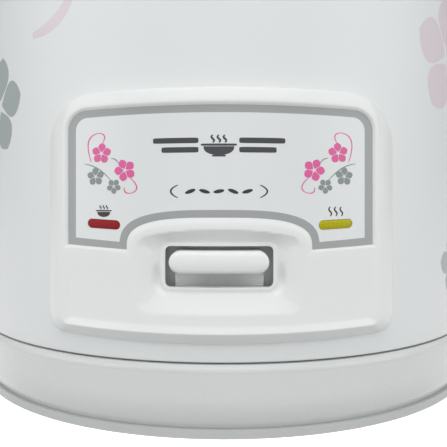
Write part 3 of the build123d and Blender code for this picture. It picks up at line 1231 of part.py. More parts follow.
# Condensation cup: open-topped box that draws out backwards on the rails under the hinge
def dew_cup():
    y0 = RING_R + CLEAR
    outer = slab(-CUP_W / 2, CUP_W / 2, y0, y0 + CUP_D, CUP_TOP - CUP_H, CUP_TOP)
    inner = slab(-CUP_W / 2 + CUP_WALL, CUP_W / 2 - CUP_WALL, y0 + CUP_WALL, y0 + CUP_D - CUP_WALL,
                 CUP_TOP - CUP_H + CUP_WALL, CUP_TOP + 1)
    wing = KNUCKLE_W / 2
    flange = slab(-wing, wing, y0, y0 + CUP_D, CUP_TOP - CUP_RAIL, CUP_TOP)
    upright = outer.edges().filter_by(Axis.Z).sort_by(Axis.Y)[-2:]
    return fillet(upright, CUP_ROUND) + flange - inner


NODES = {
    "outer_shell": outer_shell,
    "base_ring": base_ring,
    "bottom_cover": bottom_cover,
    "foot_pads": foot_pads,
    "cover_screws": cover_screws,
    "liner_brackets": liner_brackets,
    "frame_screws": frame_screws,
    "inner_shell": inner_shell,
    "liner_screws": liner_screws,
    "warming_band": warming_band,
    "heating_plate": heating_plate,
    "plate_spacers": plate_spacers,
    "plate_studs": plate_studs,
    "inner_pot": inner_pot,
    "thermostat_case": thermostat_case,
    "sensor_cap": sensor_cap,
    "ferrite": ferrite,
    "sensor_spring": sensor_spring,
    "magnet": magnet,
    "pull_rod": pull_rod,
    "lever_bracket": lever_bracket,
    "lever_pin": lever_pin,
    "lever_arm": lever_arm,
    "switch_knob": switch_knob,
    "micro_switch": micro_switch,
    "panel_bezel": panel_bezel,
    "panel_label": panel_label,
    "cook_lens": lambda: lens(-LENS_X),
    "warm_lens": lambda: lens(LENS_X),
    "panel_screws": panel_screws,
    "lamp_board": lamp_board,
    "neon_lamps": neon_lamps,
    "power_inlet": power_inlet,
    "inlet_pins": inlet_pins,
    "inlet_screws": inlet_screws,
    "terminal_block": terminal_block,
    "thermal_fuse": thermal_fuse,
    "wiring": wiring,
    "top_ring": top_ring,
    "latch_button": latch_button,
    "latch_spring": latch_spring,
    "lid_outer": lid_outer,
    "lid_inner": lid_inner,
    "lid_screws": lid_screws,
    "inner_cover": inner_cover,
    "cover_knob": cover_knob,
    "lid_gasket": lid_gasket,
    "vent_cap": vent_cap,
    "vent_seal": vent_seal,
    "hinge_pin": hinge_pin,
    "carry_handle": carry_handle,
    "handle_pins": handle_pins,
    "dew_cup": dew_cup,
}

os.makedirs("parts", exist_ok=True)
for name, make in NODES.items():
    shape = make()
    if isinstance(shape, list):
        shape = Compound(children=shape)
    export_step(shape, f"parts/{name}.step")
print(f"lever turn {math.degrees(LEVER_TURN):.3f} deg, rod travel {ROD_TRAVEL:.3f} mm")
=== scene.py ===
import math

import bmesh
import bpy
from mathutils import Matrix, Vector
from mathutils.geometry import delaunay_2d_cdt


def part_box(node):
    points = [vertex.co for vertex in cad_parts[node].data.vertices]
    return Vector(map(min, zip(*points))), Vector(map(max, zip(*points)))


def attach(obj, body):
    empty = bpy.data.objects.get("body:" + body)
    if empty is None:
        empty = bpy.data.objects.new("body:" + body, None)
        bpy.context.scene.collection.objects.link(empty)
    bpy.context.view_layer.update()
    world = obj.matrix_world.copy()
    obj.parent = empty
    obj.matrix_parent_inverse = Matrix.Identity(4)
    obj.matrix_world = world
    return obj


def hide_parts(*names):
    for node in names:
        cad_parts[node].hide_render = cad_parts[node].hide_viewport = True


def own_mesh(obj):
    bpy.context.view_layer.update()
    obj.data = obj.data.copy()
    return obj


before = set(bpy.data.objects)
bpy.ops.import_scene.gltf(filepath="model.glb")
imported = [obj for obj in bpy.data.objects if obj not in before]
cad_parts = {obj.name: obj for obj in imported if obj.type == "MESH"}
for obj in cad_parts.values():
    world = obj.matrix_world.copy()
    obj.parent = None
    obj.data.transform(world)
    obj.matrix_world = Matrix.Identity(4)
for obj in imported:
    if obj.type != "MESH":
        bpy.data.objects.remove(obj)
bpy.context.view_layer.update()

# Base ring: the light grey ABS moulding that carries the cooker, screwed under the sleeve's hem.
# Its top edge slopes to the seam, a fine groove runs below that, and the wall draws in to the rim.
MM = 0.001
CREASE = math.radians(32)
FACING = "front_normal"
FLOW_SIZE = 45.0
GREY_ABS = "#D6D9D8"
BASE_WALL = 2.6
BASE_FLANGE = 10.0
BASE_TURN_Z = 15.5
BASE_FOOT_R = 127.8
BASE_FOOT_Z = 3.5
BASE_STEP_R = 127.62
SEAM_GAP = 0.6
SEAM_DEPTH = 5.0
SEAM_LIP = 0.08
SHOULDER = 2.6
SHOULDER_TURN = 33
SHOULDER_DROP = 2.6
GROOVE_DROP = 2.85
GROOVE = 0.1
BOSS_R = 5.0
BOSS_RING_R = 121.0
BOSS_TURNS = (45, 135, 225, 315)
MIX_A, MIX_B, MIX_RESULT = 6, 7, 2


def box_mm(node):
    """Lowest and highest corner of a CAD node, in millimetres."""
    return [[c / MM for c in corner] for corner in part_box(node)]


def linear(hex_code):
    """sRGB hex to the linear colour that a shader takes."""
    parts = [int(hex_code[i:i + 2], 16) / 255 for i in (1, 3, 5)]
    return [c / 12.92 if c <= 0.04045 else ((c + 0.055) / 1.055) ** 2.4 for c in parts] + [1.0]


def add(tree, kind, inputs=None, **settings):
    """A node with its settings; each input is a value or the socket that feeds it."""
    node = tree.nodes.new(kind)
    for name, value in settings.items():
        setattr(node, name, value)
    for name, value in (inputs or {}).items():
        if isinstance(value, bpy.types.NodeSocket):
            tree.links.new(value, node.inputs[name])
        else:
            node.inputs[name].default_value = value
    return node


def finish_nodes(name):
    """A new material with its tree, shader and object coordinates."""
    material = bpy.data.materials.new(name)
    material.use_nodes = True
    tree = material.node_tree
    place = add(tree, "ShaderNodeTexCoord")
    return material, tree, tree.nodes["Principled BSDF"], place.outputs["Object"]


def moulded(name, colour, roughness, grain, relief, flow=0.96):
    """Moulded plastic: faint flow in the colour, and mould grain (mm) in gloss and relief (mm).

    The grain is drawn coarser than a real mould's, so that it shows."""
    material, tree, shader, place = finish_nodes(name)
    cloud = add(tree, "ShaderNodeTexNoise", {"Vector": place, "Scale": 1 / (FLOW_SIZE * MM), "Detail": 2.0})
    dull = [c * flow for c in linear(colour)[:3]] + [1.0]
    tint = add(tree, "ShaderNodeMix", {"Factor": cloud.outputs["Fac"], MIX_A: dull, MIX_B: linear(colour)},
               data_type="RGBA")
    tree.links.new(tint.outputs[MIX_RESULT], shader.inputs["Base Color"])
    speck = add(tree, "ShaderNodeTexNoise", {"Vector": place, "Scale": 1 / (grain * MM), "Detail": 3.0})
    gloss = add(tree, "ShaderNodeMapRange", {"Value": speck.outputs["Fac"], "To Min": roughness - 0.05,
                                             "To Max": roughness + 0.05})
    tree.links.new(gloss.outputs["Result"], shader.inputs["Roughness"])
    bump = add(tree, "ShaderNodeBump", {"Height": speck.outputs["Fac"], "Strength": 0.35,
                                        "Distance": relief * MM})
    tree.links.new(bump.outputs["Normal"], shader.inputs["Normal"])
    shader.inputs["IOR"].default_value = 1.5
    return material


def arc(radius, up, size, start, end, steps):
    """Points of a round in radius and height, by its centre, size and angles in degrees."""
    angles = [math.radians(start + (end - start) * i / steps) for i in range(steps + 1)]
    return [(radius + size * math.cos(a), up + size * math.sin(a)) for a in angles]


def turned(shape, profile, steps):
    """Points of a profile in radius and height, turned about the body's axis, as pairs of columns."""
    rings = []
    for i in range(steps):
        turn = 2 * math.pi * i / steps
        rings.append([shape.verts.new((r * math.sin(turn), -r * math.cos(turn), z)) for r, z in profile])
    return zip(rings, rings[1:] + rings[:1])


def lathe(profile, steps=288):
    """Closed ring turned about the body's axis from a loop of radius and height points."""
    shape = bmesh.new()
    for here, there in turned(shape, profile, steps):
        for k in range(len(profile)):
            shape.faces.new((here[k - 1], there[k - 1], there[k], here[k]))
    bmesh.ops.recalc_face_normals(shape, faces=shape.faces)
    return shape


def piece(name, shape, material, body, slot, *nodes):
    """Finished piece from a bmesh in millimetres, shaded smooth with its corners kept."""
    mesh = bpy.data.meshes.new(name)
    shape.to_mesh(mesh)
    shape.free()
    mesh.transform(Matrix.Scale(MM, 4))
    return mount(bpy.data.objects.new(name, mesh), material, body, slot, *nodes)


def mount(obj, material, body, slot, *nodes):
    """Gives an object its material, smooth shading and body, and hides the nodes that it stands for; its slot
    is not used.
    """
    bpy.context.scene.collection.objects.link(obj)
    obj.data.shade_smooth()
    obj.data.set_sharp_from_angle(angle=CREASE)
    facing = obj.data.attributes.get(FACING)
    if facing:
        obj.data.normals_split_custom_set([tuple(corner.vector) for corner in facing.data])
        obj.data.attributes.remove(obj.data.attributes[FACING])
    for one in material if isinstance(material, list) else [material]:
        obj.data.materials.append(one)
    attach(obj, body)
    if nodes:
        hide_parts(*nodes)
    return obj


base_low, base_high = box_mm("base_ring")
base_r = base_high[0]
base_seat = base_low[2]
seam = base_high[2]
body_r = box_mm("outer_shell")[1][0]
bend = base_r - BASE_FOOT_R
drop = BASE_TURN_Z - BASE_FOOT_Z
sweep = (bend**2 + drop**2) / (2 * bend)
sweep_angle = math.degrees(math.asin(drop / sweep))
inner_sweep = sweep - BASE_WALL
inner_angle = math.degrees(math.asin((BASE_TURN_Z - base_seat) / inner_sweep))
brow = seam - SEAM_GAP
groove_z = brow - GROOVE_DROP
base_profile = arc(base_r - sweep, BASE_TURN_Z, sweep, -sweep_angle, 0, 16)
base_profile += [(base_r, groove_z - GROOVE), (base_r - GROOVE, groove_z), (base_r, groove_z + GROOVE)]
base_profile += arc(base_r - SHOULDER, brow - SHOULDER_DROP, SHOULDER, 0, SHOULDER_TURN, 6)
base_profile += [(body_r + SEAM_LIP, brow - SEAM_LIP), (body_r, brow), (body_r - SEAM_DEPTH, brow),
                 (body_r - SEAM_DEPTH, seam), (base_r - BASE_FLANGE, seam),
                 (base_r - BASE_FLANGE, seam - BASE_WALL), (base_r - BASE_WALL, seam - BASE_WALL)]
base_profile += arc(base_r - sweep, BASE_TURN_Z, inner_sweep, 0, -inner_angle, 8)
base_profile += [(BASE_STEP_R, base_seat), (BASE_STEP_R, BASE_FOOT_Z)]
base_shape = lathe(base_profile)
for quarter in BOSS_TURNS:
    spot = Matrix.Rotation(math.radians(quarter), 4, "Z") @ Matrix.Translation(
        (BOSS_RING_R, 0, (base_seat + seam - BASE_WALL) / 2))
    bmesh.ops.create_cone(base_shape, cap_ends=True, segments=32, radius1=BOSS_R, radius2=BOSS_R,
                          depth=seam - BASE_WALL - base_seat, matrix=spot)
grey_abs = moulded("Moulded ABS, light grey satin", GREY_ABS, 0.26, 0.5, 0.012)
piece("base_moulding", base_shape, grey_abs, "cooker", "base_plastic", "base_ring")

# Bottom cover, rubber pads and screws: a vented grey plate whose standing rim shows under the base,
# held by four screws, with four push-in pads. The CAD shapes are merged and shaded smooth.
COVER_GREY = "#C1C4C3"
RUBBER = "#2A2A2B"
ZINC = "#C9CBCD"
MERGE = 0.002
SLIVER = 0.0005


def finish_node(node, material, body, slot):
    """A merged copy of a CAD node's mesh, so that its rounds shade smoothly."""
    shape = bmesh.new()
    shape.from_mesh(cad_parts[node].data)
    bmesh.ops.remove_doubles(shape, verts=shape.verts, dist=MERGE * MM)
    bmesh.ops.dissolve_degenerate(shape, edges=shape.edges, dist=SLIVER * MM)
    mesh = bpy.data.meshes.new(node + "_finish")
    shape.to_mesh(mesh)
    shape.free()
    mesh.attributes.remove(mesh.attributes["custom_normal"])
    return mount(bpy.data.objects.new(mesh.name, mesh), material, body, slot, node)


def metal(name, colour, roughness, scratch, depth):
    """Bare metal: fine marks (mm) in gloss and relief (mm) over an even colour."""
    material, tree, shader, place = finish_nodes(name)
    marks = add(tree, "ShaderNodeTexNoise", {"Vector": place, "Scale": 1 / (scratch * MM), "Detail": 4.0})
    gloss = add(tree, "ShaderNodeMapRange", {"Value": marks.outputs["Fac"], "To Min": roughness - 0.08,
                                             "To Max": roughness + 0.1})
    tree.links.new(gloss.outputs["Result"], shader.inputs["Roughness"])
    bump = add(tree, "ShaderNodeBump", {"Height": marks.outputs["Fac"], "Strength": 0.4,
                                        "Distance": depth * MM})
    tree.links.new(bump.outputs["Normal"], shader.inputs["Normal"])
    shader.inputs["Base Color"].default_value = linear(colour)
    shader.inputs["Metallic"].default_value = 1.0
    return material


cover_pp = moulded("Moulded polypropylene, grey", COVER_GREY, 0.45, 0.7, 0.02)
finish_node("bottom_cover", cover_pp, "cooker", "cover_plastic")
rubber = moulded("Moulded rubber, black", RUBBER, 0.7, 0.4, 0.03, flow=0.8)
finish_node("foot_pads", rubber, "cooker", "foot_rubber")
zinc = metal("Zinc-plated steel, bright", ZINC, 0.32, 0.5, 0.004)
for screws in ("cover_screws", "frame_screws", "liner_screws", "panel_screws", "lid_screws", "inlet_screws"):
    finish_node(screws, zinc, "lid" if screws == "lid_screws" else "cooker", "screw_steel")

# Sleeve: rolled steel sheet with a baked white coat, a bent hem at its foot, and two windows,
# one behind the panel and one for the power inlet.
SHEET = 0.8
HEM_W = 8.0
HEM_BEND = 0.8
PANEL_WINDOW = (58.0, 46.8, 119.6)
INLET_WINDOW = (15.7, 34.3, 57.7)
SLEEVE_LEVELS = (INLET_WINDOW[1], PANEL_WINDOW[1], INLET_WINDOW[2], 90.0, PANEL_WINDOW[2], 150.0)
SLEEVE_WHITE = "#E2E5E5"
SLEEVE_STEPS = 360
COAT_PEEL = 1.6
COAT_CLOUD = 60.0


def coated_steel():
    """Baked enamel on steel: an even gloss with the faint orange peel of a sprayed coat."""
    material, tree, shader, place = finish_nodes("Coated steel, white")
    peel = add(tree, "ShaderNodeTexNoise", {"Vector": place, "Scale": 1 / (COAT_PEEL * MM), "Detail": 1.0})
    bump = add(tree, "ShaderNodeBump", {"Height": peel.outputs["Fac"], "Strength": 0.12,
                                        "Distance": 0.01 * MM})
    tree.links.new(bump.outputs["Normal"], shader.inputs["Normal"])
    cloud = add(tree, "ShaderNodeTexNoise", {"Vector": place, "Scale": 1 / (COAT_CLOUD * MM), "Detail": 1.0})
    gloss = add(tree, "ShaderNodeMapRange", {"Value": cloud.outputs["Fac"], "To Min": 0.42, "To Max": 0.48})
    tree.links.new(gloss.outputs["Result"], shader.inputs["Roughness"])
    shader.inputs["Base Color"].default_value = linear(SLEEVE_WHITE)
    shader.inputs["Coat Weight"].default_value = 0.1
    shader.inputs["Coat Roughness"].default_value = 0.35
    return material


levels = [(body_r - HEM_W, seam)] + arc(body_r - HEM_BEND, seam + HEM_BEND, HEM_BEND, -90, 0, 4)
levels += [(body_r, z) for z in SLEEVE_LEVELS + (box_mm("outer_shell")[1][2],)]
sleeve_shape = bmesh.new()
for here, there in turned(sleeve_shape, levels, SLEEVE_STEPS):
    for k in range(1, len(levels)):
        corners = (here[k - 1], there[k - 1], there[k], here[k])
        middle = sum((v.co for v in corners), Vector()) / 4
        half, foot, top = PANEL_WINDOW if middle.y < 0 else INLET_WINDOW
        if abs(middle.x) > half or not foot < middle.z < top:
            sleeve_shape.faces.new(corners)
loose = [v for v in sleeve_shape.verts if not v.link_faces]
bmesh.ops.delete(sleeve_shape, geom=loose, context="VERTS")
sleeve_shape.edges.index_update()
cut_edges = [edge.index for edge in sleeve_shape.edges if edge.is_boundary]
sleeve = piece("sleeve", sleeve_shape, coated_steel(), "cooker", "sleeve_steel", "outer_shell")
for index in cut_edges:
    sleeve.data.edges[index].use_edge_sharp = True
sheet = sleeve.modifiers.new("Sheet", "SOLIDIFY")
sheet.thickness = SHEET * MM
sheet.offset = -1.0

# Panel: a raised white ABS plate clipped over the sleeve's window. A rounded rim runs around it, the
# field inside lies a little lower, the film is let into it, and a dish leads down to the switch slot.
panel_low, panel_high = box_mm("panel_bezel")
PANEL_HALF = panel_high[0]
PANEL_MID = (panel_low[2] + panel_high[2]) / 2
PANEL_RISE = (panel_high[2] - panel_low[2]) / 2
PANEL_PROUD = 5.5
PANEL_BACK = 0.1
EDGE = 9.2
EDGE_RISE = 5.0
TOP_CORNER = 19.0
FOOT_CORNER = 7.0
FOOT_WALL = 4.2
FOOT_STEP = 1.3
FOOT_END = (59.0, 62.0)
FOOT_BOW = 1.4
TOP_WALL = 4.0
TOP_BROW = 3.9
TOP_SLOPE = 0.27
TOP_ROUND = 0.8
TOP_TURN = (0.5, 1.1)
LIP_HALF = 60.3
LIP_FOOT = PANEL_MID - PANEL_RISE + FOOT_WALL
LIP_CORNER = 2.2
LIP_W = 2.7
LIP_CREST = 0.3
LIP_ROOT = 0.15
FIELD_SUNK = 1.0
FIELD_TOP = 50.0
FIELD_FADE = 40.0
TOP_SAG = 1.25
FILM_HALF = 58.5
FILM_TOP = 123.2
FILM_FOOT_OUT = 71.5
FILM_FOOT_IN = 70.3
FILM_CORNER = 7.5
FILM_LEVEL = 4.35
FILM_T = 0.5
ARCH_HALF = 34.4
ARCH_RISE = 12.0
ARCH_POWER = 3.1
ARCH_STEPS = 96
WALL_HALF = 0.12
SLOT_HALF = 20.0
SLOT_Z0 = 56.5
SLOT_Z1 = 71.7
SLOT_CORNER = 2.0
DISH_RISE = 1.3
DISH_RIM = 1.6
DISH_HALF = 31.0
DISH_FOOT = 46.3
DISH_TOP = 78.2
DISH_BOW = 3.2
DISH_CORNER = 4.5
DISH_SOFT = 0.1
FILM_STEP = 0.1
BEVEL = 1.0
BEAD = 0.35
BEAD_W = 6.0
BEVEL_ROUND = 0.4
COLLAR = 0.5
COLLAR_EDGE = (0.7, 2.2)
DIMPLE = 1.6
DIMPLE_AWAY = 3.0
DIMPLE_W = 2.2
DIMPLE_Z = 59.6
DIMPLE_H = 7.0
SLOT_BACK_Y = -128.3
LENS_X = 43.45
LENS_Z = 79.6
LENS_W = 13.0
LENS_H = 3.3
LENS_GAP = 0.12
LENS_TILT = 0.05
EDGE_BREAK = 0.5
FILM_BED = 0.05
SLOT_BOSS = 6.0
DISH_GRID_HALF = 46.0
DISH_GRID_Z = (44.0, 84.0)
PANEL_GRID_HALF = 66.0
PANEL_GRID_Z = (40.0, 128.0)
FINE_GRID = 0.7
FINE_EDGE = 10.0
COARSE_GRID = 2.4
COARSE_EDGE = 10.5
COARSE_ROOM = 1.0
RIM_W = 5.8
BEVEL_W = 2.6
LIP_ROOM = 0.4
RIM_ROWS = (0.06, 0.25, 0.5, 0.75, 1.0, 1.3, 1.8, 2.6, 3.4, 3.8, 4.05, 4.2, 4.4, 4.8, 5.2, 5.6)
BEVEL_ROWS = (0.25, 0.5, 0.8, 1.2, 1.7, 2.3)
CREST_ROWS = (6.0, 6.4, 6.7, 6.9, 7.1, 7.4, 7.7, 8.0, 8.6, 9.2, 9.8)
LIP_ROWS = (-1.0, -0.5, -0.2, 0.0, 0.2, 0.5, 1.0, 1.6, 2.2, 2.6, 3.0)
WHITE_ABS = "#E8EAE9"


def blend(value, start, end):
    """Smooth step from 0 at start to 1 at end."""
    t = min(max((value - start) / (end - start), 0.0), 1.0)
    return t * t * (3 - 2 * t)


def round_loop(corners, step):
    """Closed outline from corners (x, z, radius), with arcs at the corners, in short steps."""
    loop = []
    for k, (x, z, radius) in enumerate(corners):
        here = Vector((x, z))
        before = (Vector(corners[k - 1][:2]) - here).normalized()
        after = (Vector(corners[(k + 1) % len(corners)][:2]) - here).normalized()
        half = before.angle(after) / 2
        centre = here + (before + after).normalized() * (radius / math.sin(half))
        first = here + before * (radius / math.tan(half)) - centre
        sweep_turn = before.angle_signed(after)
        turn = math.copysign(math.pi - 2 * half, sweep_turn)
        steps = max(2, math.ceil(abs(turn) * radius / step))
        for i in range(steps + 1):
            a = turn * i / steps
            spoke = Vector((first.x * math.cos(a) - first.y * math.sin(a),
                            first.x * math.sin(a) + first.y * math.cos(a)))
            loop.append(centre + spoke)
    closed = []
    for here, there in zip(loop, loop[1:] + loop[:1]):
        parts = max(1, math.ceil((there - here).length / step))
        closed += [tuple(here.lerp(there, i / parts)) for i in range(parts)]
    return closed


def plate_loop(half, z0, z1, foot_r, top_r, step=1.0):
    """Upright rounded rectangle."""
    return round_loop([(-half, z0, foot_r), (half, z0, foot_r), (half, z1, top_r), (-half, z1, top_r)], step)


def panel_loop(inset, step=1.0):
    """The panel's outline, moved in."""
    return plate_loop(PANEL_HALF - inset, PANEL_MID - PANEL_RISE + inset, PANEL_MID + PANEL_RISE - inset,
                      max(FOOT_CORNER - inset, 0.5), TOP_CORNER - inset, step)


def pill_loop(x, z, width, height, step=0.5):
    """Outline of a bar with round ends."""
    loop = plate_loop(width / 2, -height / 2, height / 2, height / 2 - 0.01, height / 2 - 0.01, step)
    return [(x + px, z + pz) for px, pz in loop]


def lens_loop(x, width, height):
    """Outline of a lens, whose outer end lies a little higher."""
    return [(px, pz + LENS_TILT * (abs(px) - LENS_X)) for px, pz in pill_loop(x, LENS_Z, width, height)]


def film_loop(inset, narrow=0.0, step=0.8):
    """The film's outline: rounded at the top, with an arch cut out around the switch."""
    half = FILM_HALF - inset - narrow
    reach = ARCH_HALF + inset
    rise = ARCH_RISE + inset
    foot_in = FILM_FOOT_IN + inset
    foot_out = FILM_FOOT_OUT + inset
    arch = []
    for i in range(ARCH_STEPS + 1):
        a = math.pi * i / ARCH_STEPS
        x = -math.copysign(abs(math.cos(a)) ** (2 / ARCH_POWER), math.cos(a)) * reach
        arch.append((x, FILM_FOOT_IN + rise * math.sin(a) ** (2 / ARCH_POWER)))
    arch = [p for p in arch if p[1] > foot_in + 0.2]
    top = round_loop([(half, foot_out, 0.3), (half, FILM_TOP - inset, FILM_CORNER - inset),
                      (-half, FILM_TOP - inset, FILM_CORNER - inset), (-half, foot_out, 0.3)], step)
    top = [p for p in top if p[1] > foot_out + 0.4]
    first = max(range(len(top)), key=lambda k: top[k][0] * 1000 - top[k][1])
    top = top[first:] + top[:first]
    foot_left = [(-half, foot_out), (-reach, foot_in)]
    foot_right = [(reach, foot_in), (half, foot_out)]
    corners = top + foot_left + arch + foot_right
    loop = []
    for (x0, z0), (x1, z1) in zip(corners, corners[1:] + corners[:1]):
        parts = max(1, math.ceil(math.hypot(x1 - x0, z1 - z0) / step))
        loop += [(x0 + (x1 - x0) * i / parts, z0 + (z1 - z0) * i / parts) for i in range(parts)]
    return loop


def corner_inset(across, up, radius):
    """How far a point lies inside an outline, by its place from the centre of the nearest corner's round."""
    return radius - math.hypot(max(across, 0), max(up, 0)) - min(max(across, up), 0)


def panel_inset(x, z):
    """How far a point lies inside the panel's outline."""
    radius = TOP_CORNER if z > PANEL_MID else FOOT_CORNER
    return corner_inset(abs(x) - (PANEL_HALF - radius), abs(z - PANEL_MID) - (PANEL_RISE - radius), radius)


def film_inset(x, z, narrow=0.0):
    """How far a point lies inside the film's outline."""
    side, head = FILM_HALF - narrow - abs(x), FILM_TOP - z
    slope = (FILM_FOOT_IN - FILM_FOOT_OUT) / (FILM_HALF - narrow - ARCH_HALF)
    inset = min(side, head, z - FILM_FOOT_OUT - slope * side)
    if side < FILM_CORNER and head < FILM_CORNER:
        inset = FILM_CORNER - math.hypot(FILM_CORNER - side, FILM_CORNER - head)
    u, v = abs(x) / ARCH_HALF, max(z - FILM_FOOT_IN, 0) / ARCH_RISE
    power = (u**ARCH_POWER + v**ARCH_POWER) ** (1 / ARCH_POWER)
    steep = math.hypot(u ** (ARCH_POWER - 1) / ARCH_HALF, v ** (ARCH_POWER - 1) / ARCH_RISE)
    power = max(power, 0.05)
    steep = max(steep * power ** (1 - ARCH_POWER), 0.01)
    return min(inset, (power - 1) / steep)


def slot_outset(x, z):
    """How far a point lies outside the switch slot."""
    up = abs(z - (SLOT_Z0 + SLOT_Z1) / 2) - ((SLOT_Z1 - SLOT_Z0) / 2 - SLOT_CORNER)
    return -corner_inset(abs(x) - (SLOT_HALF - SLOT_CORNER), up, SLOT_CORNER)


def lens_outset(x, z):
    """How far a point lies outside the nearer lens hole."""
    across = abs(x) - LENS_X
    along = max(abs(across) - (LENS_W - LENS_H) / 2, 0)
    return math.hypot(along, z - LENS_Z - LENS_TILT * across) - LENS_H / 2 - LENS_GAP


def on_body(x, rise):
    """Front of the body at a place across it, raised off the sleeve."""
    return -math.sqrt((body_r + rise) ** 2 - x * x)


def dish_inset(x, z):
    """How far a point lies inside the dish's outline, whose top edge is bowed."""
    top = DISH_TOP - DISH_BOW * (x / DISH_HALF) ** 2
    up = abs(z - (DISH_FOOT + top) / 2) - ((top - DISH_FOOT) / 2 - DISH_CORNER)
    return corner_inset(abs(x) - (DISH_HALF - DISH_CORNER), up, DISH_CORNER)


def soft_min(a, b, ease):
    """The lower of two heights, with a rounded change between them."""
    return (a + b - math.sqrt((a - b) ** 2 + ease**2)) / 2


def field_inset(x, z):
    """How far a point lies inside the crest that frames the panel's lower field."""
    return corner_inset(abs(x) - (LIP_HALF - LIP_CORNER), LIP_FOOT + LIP_CORNER - z, LIP_CORNER)


def top_share(x, z):
    """1 along the panel's top and 0 along its sides, with a smooth change around its upper corners."""
    across = max(abs(x) - PANEL_HALF + TOP_CORNER, 0)
    up = max(z - PANEL_MID - PANEL_RISE + TOP_CORNER, 0)
    return blend(math.atan2(up, across), *TOP_TURN)


def rim_rise(x, z):
    """Height of the panel off the sleeve: round sides, a sloped brow, a straight foot and a sunk field."""
    inset = max(panel_inset(x, z), 0)
    foot = 1 - blend(abs(x), *FOOT_END)
    wall = PANEL_PROUD - EDGE_RISE + EDGE_RISE * math.sqrt(1 - max(1 - inset / EDGE, 0) ** 2)
    wall += (FOOT_STEP + (PANEL_PROUD - FOOT_STEP) * inset / FOOT_WALL - wall) * foot
    wall += (soft_min(TOP_WALL * inset, TOP_BROW + TOP_SLOPE * inset, TOP_ROUND) - wall) * top_share(x, z)
    fall = max(field_inset(x, z) / LIP_W, 0)
    sunk = FIELD_SUNK * (1 - blend(z, FIELD_TOP, FIELD_TOP + FIELD_FADE)) * soft_min(fall, 1, LIP_ROOT)
    return max(soft_min(wall, PANEL_PROUD - sunk, LIP_CREST), 0)


def panel_front(x, z):
    """Depth of the panel's face: the film's bed, the bevel around it, the dish and the finger hollows."""
    if film_inset(x, z) > 0:
        return on_body(x, FILM_LEVEL - FILM_T - FILM_BED)
    around_arch = 1 - blend(max(abs(x) - ARCH_HALF, z - FILM_FOOT_IN - ARCH_RISE), 0, BEAD_W)
    bevel = BEVEL + (BEAD - BEVEL) * around_arch
    rise = soft_min(rim_rise(x, z), FILM_LEVEL + FILM_STEP - film_inset(x, z) * bevel, BEVEL_ROUND)
    front = on_body(x, rise)
    inside = dish_inset(x, z)
    away = slot_outset(x, z)
    if inside > 0:
        share = inside / (inside + max(away - DISH_RIM, 0))
        eased = share**2 / (2 * DISH_SOFT) if share < DISH_SOFT else share - DISH_SOFT / 2
        front += (on_body(x, DISH_RISE) - front) * eased / (1 - DISH_SOFT / 2)
    hollow = 1 - blend(abs(away - DIMPLE_AWAY), 0, DIMPLE_W) if abs(x) > SLOT_HALF else 0
    front += DIMPLE * hollow * (1 - blend(abs(z - DIMPLE_Z), 0, DIMPLE_H))
    return front - COLLAR * (1 - blend(away, *COLLAR_EDGE))


def panel_back(x, z):
    """Depth of the panel's back, which is level around the slot."""
    back = on_body(x, PANEL_BACK)
    return max(back, SLOT_BACK_Y) if slot_outset(x, z) < SLOT_BOSS else back


def sag(x, z):
    """The panel bows a little: the ends of its top edge lie lower, and those of its foot lie higher."""
    top = TOP_SAG * blend(z, PANEL_MID, PANEL_MID + PANEL_RISE)
    foot = FOOT_BOW * blend(z, PANEL_MID, PANEL_MID - PANEL_RISE)
    return z + (foot - top) * (x / PANEL_HALF) ** 2


def front_normal(front, x, z, step=0.03):
    """Normal of a relief at a place, or nothing where the relief has a step or an edge."""
    here = front(x, z)
    slopes = []
    for dx, dz in ((step, 0), (0, step)):
        ahead = (front(x + dx, z + dz) - here) / step
        behind = (here - front(x - dx, z - dz)) / step
        if abs(ahead - behind) > EDGE_BREAK:
            return Vector((0, 0, 0))
        slopes.append((ahead + behind) / 2)
    return Vector((slopes[0], -1, slopes[1])).normalized()


def open_sides(faces):
    """Sides that only one face has, in that face's direction."""
    sides = {}
    for face in faces:
        for a, b in zip(face, face[1:] + face[:1]):
            if (b, a) in sides:
                del sides[(b, a)]
            else:
                sides[(a, b)] = True
    return list(sides)


